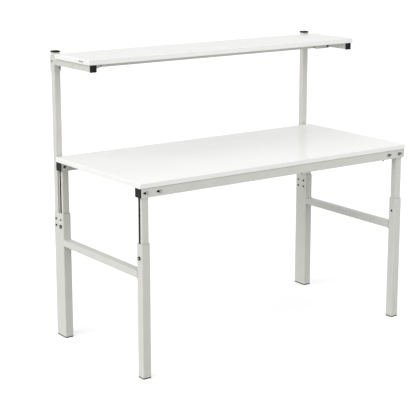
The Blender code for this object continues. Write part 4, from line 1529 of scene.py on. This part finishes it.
@dataclass
class Shelf(Assembly):
    """What slides on the posts: shelf board, arms, sleeves, angle rail, brackets and screws."""

    body: Body = Body.SHELF
    arm_wall: float = 0.002
    arm_corner: float = 0.0022
    cap_flange: float = 0.005
    cap_corner: float = 0.003
    cap_edge: float = 0.0012
    cap_root_corner: float = 0.0015
    panel_rim: float = 0.0055
    panel_depth: float = 0.0012
    sleeve_wall: float = 0.003
    sleeve_corner: float = 0.0034
    hole: float = 0.007
    hole_depth: float = 0.012
    set_screw_spread: float = 0.008
    set_screw_rise: float = 0.013
    mark_length: float = 0.040
    mark_height: float = 0.005
    mark_depth: float = 0.0018
    mark_setback: float = 0.069
    angle_wall: float = 0.0025
    angle_bend: float = 0.0035
    angle_screw_share: float = 0.62
    angle_screw_reach: float = 0.016
    bracket_plate: float = 0.003
    bracket_bend: float = 0.0045
    bracket_taper: float = 0.020
    bracket_bolts: Pair = (0.0117, 0.0967)
    bracket_bolt_drop: float = 0.024
    bracket_arm_run: float = 0.033
    bracket_flange_drop: float = 0.030
    bead: float = 0.0022
    bead_side: float = 0.0003
    bead_rounding: float = 0.00154
    bead_lumps: float = 0.0004
    screw: Screw = SMALL_SCREW
    set_screw: Screw = Screw(0.0070, 0.0020, 0.006)
    arm_bolt: Screw = Screw(0.0130, 0.0026, 0.006, 0.004, 0.0016)
    root_bolt: Screw = Screw(0.0110, 0.0020, 0.006)
    root_setback: float = 0.0148
    root_drop: float = 0.0005
    nut: HexNut = HexNut(0.010, 0.005, 0.006)
    nut_gap: float = 0.0005
    wood_screw: WoodScrew = WoodScrew()
    arm_screw_shares: Pair = (0.22, 0.78)
    arm_screw_reach: float = 0.040
    arm_screw_gap: float = 0.0001

    def build(self) -> None:
        """Builds the shelf assembly."""
        self.board()
        self.angle()
        for side in Side:
            self.sleeve(side)
            self.arm(side)
            self.arm_cap(side)
            self.bracket(side)
            self.sleeve_screws(side)
            self.bracket_screws(side)
            self.arm_screws(side)

    def board(self) -> None:
        """Builds the shelf board, with the shallow slot in its left end."""
        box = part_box("shelf_board")
        board = Board(box)
        self.add("shelf_panel", board.panel(), LAMINATE, "shelf_board", soft=BOARD_EDGE)
        where = Vector((box[0].x, box[0].y + self.mark_setback, centre(box).z))
        slot = Shape.oblong(self.mark_height, self.mark_length, 2 * self.mark_depth, Way.RIGHT, where)
        edging = board.edging().combine(slot.mark_inside())
        self.add("shelf_edging", edging, EDGE_BAND, soft=BOARD_EDGE, inside=BOARD_CORE)

    def angle(self) -> None:
        """Builds the angle under the shelf, folded from sheet, and its screws."""
        low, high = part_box("shelf_rail")
        size = high - low
        section = Shape.fold(size.z, size.y, self.angle_bend, self.angle_wall, -1.0)
        section.extrude(size.x).place(Way.RIGHT, Vector((low.x, high.y, low.z)))
        holes = [Shape.drill(self.hole, self.hole_depth, Way.REAR, place) for side in Side
                 for place in self.bracket_places(side)]
        self.add("shelf_angle", section.cut(holes), PAINT, "shelf_rail", inside=PAINTED_SHADE_STEEL)
        reach = high.x * self.angle_screw_share
        for number, x in enumerate((-reach, 0.0, reach), 1):
            where = Vector((x, (low.y + high.y) / 2 + self.angle_wall, high.z - self.angle_wall))
            self.fasten(f"shelf_angle_screw_{number}", self.wood_screw.shape(self.angle_screw_reach),
                        Way.UP, where, BLACK_STEEL, FINE_EDGE)

    def bracket_places(self, side: Side) -> list[Vector]:
        """Finds the two front screws of one bracket.

        Args:
            side: the end of the bench.

        Returns:
            Their places on its front face.
        """
        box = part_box(f"shelf_bracket_{side}")
        return [Vector((side.outer(box) - side.sign * bolt, box[0].y, box[1].z - self.bracket_bolt_drop))
                for bolt in self.bracket_bolts]

    def bracket(self, side: Side) -> None:
        """Builds one bracket, a folded plate with a tapered front leaf.

        Args:
            side: the end of the bench.
        """
        node = f"shelf_bracket_{side}"
        low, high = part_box(node)
        size = high - low
        inner = side.inner((low, high))
        section = Shape.fold(size.x, size.y, self.bracket_bend, self.bracket_plate, side.sign)
        section.extrude(size.z).shift((inner, high.y, low.z))
        reach = self.bracket_taper
        taper = Shape.bar((Vector((-reach, -reach, -reach)), Vector((reach, reach, 0.0))), Way.UP)
        lean = math.atan2(reach / 2, reach)
        middle = Vector((inner + side.sign * reach / 2, low.y, low.z + reach / 4))
        turn = Matrix.Translation(middle) @ Matrix.Rotation(side.sign * lean, 4, "Y")
        bmesh.ops.transform(taper.mesh, matrix=turn, verts=taper.mesh.verts)
        leaf_back = low.y + self.bracket_plate + self.bracket_bend
        floor = high.z - self.bracket_flange_drop
        step = Shape.bar((Vector((low.x - OVERRUN, leaf_back, low.z - OVERRUN)),
                          Vector((high.x + OVERRUN, high.y + OVERRUN, floor))), Way.UP)
        holes = [Shape.drill(self.hole, self.hole_depth, Way.REAR, place)
                 for place in self.bracket_places(side)]
        holes.append(Shape.drill(self.hole, self.hole_depth, side.inward, self.arm_bolt_place(side)))
        plate = section.combine(taper).combine(step).cut(holes)
        self.add(f"shelf_corner_plate_{side}", plate, PAINT, node, inside=PAINTED_SHADE_STEEL)

    def arm_bolt_place(self, side: Side) -> Vector:
        """Finds the bolt between a bracket and its arm.

        Args:
            side: the end of the bench.

        Returns:
            Where the bolt goes through the arm's inner side.
        """
        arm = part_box(f"shelf_arm_{side}")
        bracket_low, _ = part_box(f"shelf_bracket_{side}")
        return Vector((side.inner(arm), bracket_low.y + self.bracket_arm_run, centre(arm).z))

    def sleeve(self, side: Side) -> None:
        """Builds one sleeve, a short tube round its post."""
        shape = Shape.bar(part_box(f"sleeve_{side}"), Way.UP, self.sleeve_corner, self.sleeve_wall)
        self.add(f"sliding_sleeve_{side}", shape, PAINT, f"sleeve_{side}", inside=PAINTED_SHADE_STEEL)

    def arm(self, side: Side) -> None:
        """Builds one arm and the weld bead between it and its sleeve.

        Args:
            side: the end of the bench.
        """
        node = f"shelf_arm_{side}"
        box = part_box(node)
        low, high = box
        shape = Shape.bar(box, Way.REAR, self.arm_corner, self.arm_wall)
        bolt = self.arm_bolt_place(side)
        bolt.x = side.outer(box)
        shape.cut([Shape.drill(self.hole, high.x - low.x + OVERRUN, side.inward, bolt)])
        self.add(f"carrying_arm_{side}", shape, PAINT, node, inside=PAINTED_SHADE_STEEL)
        first, last = sorted((side.outer(box) + side.sign * self.bead_side,
                              side.inner(box) - side.sign * self.bead))
        start = Vector((first, high.y - self.bead, low.z - self.bead))
        self.weld(f"arm_weld_{side}", (start, Vector((last, high.y, high.z))), self.arm_corner,
                  self.bead_rounding, start.y, self.bead_lumps)

    def arm_cap(self, side: Side) -> None:
        """Builds the moulded plug in the front end of one arm, with a shallow panel in its face.

        Args:
            side: the end of the bench.
        """
        node = f"arm_cap_{side}"
        low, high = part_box(node)
        arm_low, arm_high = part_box(f"shelf_arm_{side}")
        seat = low.y + self.cap_flange
        flange = Shape.bar((low, Vector((high.x, seat, high.z))), Way.REAR, self.cap_corner)
        flange.round_edges(self.cap_edge, lambda spot: spot.y < low.y + MERGE_DISTANCE)
        rim = Vector((self.panel_rim, 0.0, self.panel_rim))
        panel_low = Vector((low.x, low.y - OVERRUN, low.z)) + rim
        panel_high = Vector((high.x, low.y + self.panel_depth, high.z)) - rim
        flange.combine(Shape.bar((panel_low, panel_high), Way.REAR, self.panel_depth))
        slim = Vector((self.arm_wall * PLUG_SLIM, 0.0, self.arm_wall * PLUG_SLIM))
        root_low = Vector((arm_low.x, low.y + self.cap_flange / 2, arm_low.z)) + slim
        root_high = Vector((arm_high.x, high.y, arm_high.z)) - slim
        root = Shape.bar((root_low, root_high), Way.REAR, self.cap_root_corner)
        self.add(f"arm_plug_{side}", flange.combine(root, Join.UNITE), PLASTIC, node)

    def sleeve_screws(self, side: Side) -> None:
        """Builds the screw in the outer side of a sleeve and the two set screws in its front.

        Args:
            side: the end of the bench.
        """
        node = f"sleeve_screw_{side}"
        shape = side_screw(self.screw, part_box(node), side)
        self.add(f"sleeve_side_screw_{side}", shape, ZINC, node, soft=SCREW_EDGE)
        low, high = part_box(f"sleeve_{side}")
        for number, offset in enumerate((-self.set_screw_spread, self.set_screw_spread), 1):
            where = Vector(((low.x + high.x) / 2 + offset, low.y - SEAT_GAP, low.z + self.set_screw_rise))
            # Painted reflection: one of the two takes the darker copy of the zinc.
            finish = PAINT if offset * side.sign > 0.0 else ZINC_WITH_DARK_REFLECTION
            self.fasten(f"sleeve_front_screw_{side}_{number}", self.set_screw.shape(self.sleeve_wall),
                        Way.REAR, where, finish)

    def bracket_screws(self, side: Side) -> None:
        """Builds the screws of one bracket with their nuts, and the bolts in its arm.

        Args:
            side: the end of the bench.
        """
        rail_low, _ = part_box("shelf_rail")
        for number, place in enumerate(self.bracket_places(side), 1):
            back = rail_low.y + self.angle_wall
            finish = BLACK_STEEL if (side, number) == (Side.RIGHT, 1) else ZINC
            self.fasten(f"bracket_screw_{side}_{number}", self.screw.shape(back - place.y), Way.REAR,
                        place - Vector((0.0, SEAT_GAP, 0.0)), finish)
            self.fasten(f"bracket_nut_{side}_{number}", self.nut.shape(), Way.REAR,
                        Vector((place.x, back + SEAT_GAP, place.z)), ZINC)
        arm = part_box(f"shelf_arm_{side}")
        bolt = self.arm_bolt_place(side)
        seat = Vector((side.outer(arm) + side.sign * SEAT_GAP, bolt.y, bolt.z))
        reach = arm[1].x - arm[0].x + self.bracket_plate
        self.fasten(f"arm_screw_{side}", self.arm_bolt.shape(reach), side.inward, seat, PAINT)
        behind = Vector((bolt.x - side.sign * (self.bracket_plate + self.nut_gap), bolt.y, bolt.z))
        self.fasten(f"arm_nut_{side}", self.nut.shape(), side.inward, behind, ZINC)
        root = Vector((seat.x, arm[1].y - self.root_setback, bolt.z - self.root_drop))
        self.fasten(f"arm_root_screw_{side}", self.root_bolt.shape(2 * self.arm_wall), side.inward,
                    root, PAINT)

    def arm_screws(self, side: Side) -> None:
        """Builds the two wood screws that hold the shelf, their heads under one arm.

        Args:
            side: the end of the bench.
        """
        low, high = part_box(f"shelf_arm_{side}")
        for number, share in enumerate(self.arm_screw_shares, 1):
            where = Vector(((low.x + high.x) / 2, low.y + share * (high.y - low.y),
                            low.z - self.arm_screw_gap))
            self.fasten(f"arm_wood_screw_{side}_{number}", self.wood_screw.shape(self.arm_screw_reach),
                        Way.UP, where, BLACK_STEEL, FINE_EDGE)


def hang(light: bpy.types.Light, place: Vector, from_where: Vector) -> None:
    """Hangs a light in the scene, without highlights.

    Args:
        light: the light.
        place: where it hangs.
        from_where: the way back along its rays.
    """
    lamp = link(light.name, light)
    lamp.location = place
    lamp.rotation_euler = from_where.to_track_quat("Z", "Y").to_euler()
    lamp.visible_glossy = False


@dataclass(frozen=True)
class Lamp:
    """A wide, even light from one direction, as a large diffuser gives."""

    name: str
    towards: Triple
    spread: float
    power: float

    def hang(self) -> None:
        """Puts the light in the scene."""
        light = bpy.data.lights.new(self.name, "SUN")
        light.angle = self.spread
        light.energy = self.power
        hang(light, ORIGIN, Vector(self.towards))


@dataclass(frozen=True)
class Panel:
    """A soft panel light close to the bench, so that what is near to it is lit more."""

    name: str
    place: Triple
    aim: Triple
    width: float
    height: float
    power: float

    def hang(self) -> None:
        """Puts the light in the scene."""
        light = bpy.data.lights.new(self.name, "AREA")
        light.shape = "RECTANGLE"
        light.size = self.width
        light.size_y = self.height
        light.energy = self.power
        hang(light, Vector(self.place), Vector(self.place) - Vector(self.aim))


@dataclass
class Studio:
    """The pale floor, the soft lights and the camera.

    The sky is given as pairs of a direction's height, from -1 to 1, and its brightness.
    """

    floor_size: float = 400.0
    floor_white: float = 0.60
    floor_glow: float = 0.45
    floor_roughness: float = 0.9
    floor_gloss: float = 0.1
    sky: tuple[Pair, ...] = ((-1.0, 0.29), (-0.02, 0.29), (-0.01, 0.75), (0.15, 0.75), (0.40, 0.90))
    lamps: tuple[Lamp | Panel, ...] = (
        Lamp("left_wall", (-0.97, -0.10, 0.25), math.radians(60), 1.25),
        Lamp("upper_left_wall", (-0.70, -0.10, 0.70), math.radians(60), 0.575),
        Panel("front_panel", (-0.6, -2.4, 2.2), (-0.3, -0.3, 1.1), 2.4, 1.2, 15.2),
        Panel("front_right_panel", (2.0, -2.2, 0.9), (0.6, -0.3, 0.5), 1.2, 1.2, 8.4),
    )
    camera_place: Triple = (-3.5822, -4.7689, 2.0159)
    azimuth: float = math.radians(35.839)
    tilt: float = math.radians(13.033)
    focal_pixels: float = 1306.0
    picture_pixels: float = 416.0
    sensor: float = 36.0
    shift: float = -0.03
    sight: float = 1000.0

    def build(self) -> None:
        """Builds the studio."""
        self.floor()
        self.world()
        for lamp in self.lamps:
            lamp.hang()
        self.camera()
        bpy.context.scene.view_settings.view_transform = "Standard"

    def floor(self) -> None:
        """Builds the floor, a plain pale sheet."""
        mesh = Shape.sheet(self.floor_size, self.floor_size).release("studio_floor")
        floor = link("studio_floor", mesh)
        recipe = Recipe("studio_floor")
        recipe.put(recipe.shader, {
            "Base Color": (self.floor_white,) * 3 + (1.0,),
            "Roughness": self.floor_roughness,
            "Specular IOR Level": self.floor_gloss,
            "Emission Color": (1.0, 1.0, 1.0, 1.0),
            "Emission Strength": self.floor_glow,
        })
        mesh.materials.append(recipe.material)
        floor.visible_diffuse = False
        floor.visible_shadow = False

    def world(self) -> None:
        """Lights the scene from all round, with a brightness that changes with the direction's height."""
        world = bpy.data.worlds.new("studio_sky")
        world.use_nodes = True
        tree = world.node_tree
        direction = tree.nodes.new("ShaderNodeTexCoord").outputs["Generated"]
        split = tree.nodes.new("ShaderNodeSeparateXYZ")
        spread = tree.nodes.new("ShaderNodeMapRange")
        spread.inputs["From Min"].default_value = -1.0
        ramp = tree.nodes.new("ShaderNodeValToRGB")
        stops = ramp.color_ramp.elements
        while len(stops) < len(self.sky):
            stops.new(1.0)
        for stop, (height, brightness) in zip(stops, self.sky):
            stop.position = (height + 1.0) / 2
            stop.color = (brightness,) * 3 + (1.0,)
        tree.links.new(direction, split.inputs["Vector"])
        tree.links.new(split.outputs["Z"], spread.inputs["Value"])
        tree.links.new(spread.outputs["Result"], ramp.inputs["Fac"])
        tree.links.new(ramp.outputs["Color"], tree.nodes["Background"].inputs["Color"])
        bpy.context.scene.world = world

    def camera(self) -> None:
        """Sets the camera up at the photograph's viewing angle."""
        data = bpy.data.cameras.new("camera")
        data.sensor_width = self.sensor
        data.lens = self.focal_pixels / self.picture_pixels * self.sensor
        data.shift_y = self.shift
        data.clip_end = self.sight
        camera = link("camera", data)
        camera.location = self.camera_place
        camera.rotation_euler = (math.pi / 2 - self.tilt, 0.0, -self.azimuth)
        bpy.context.scene.camera = camera


def main() -> None:
    """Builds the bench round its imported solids, then the studio."""
    logging.basicConfig(level=logging.INFO, format="%(name)s: %(message)s")
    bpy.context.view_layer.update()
    LowerFrames().build()
    Worktop().build()
    Shelf().build()
    Studio().build()


if __name__ == "__main__":
    main()
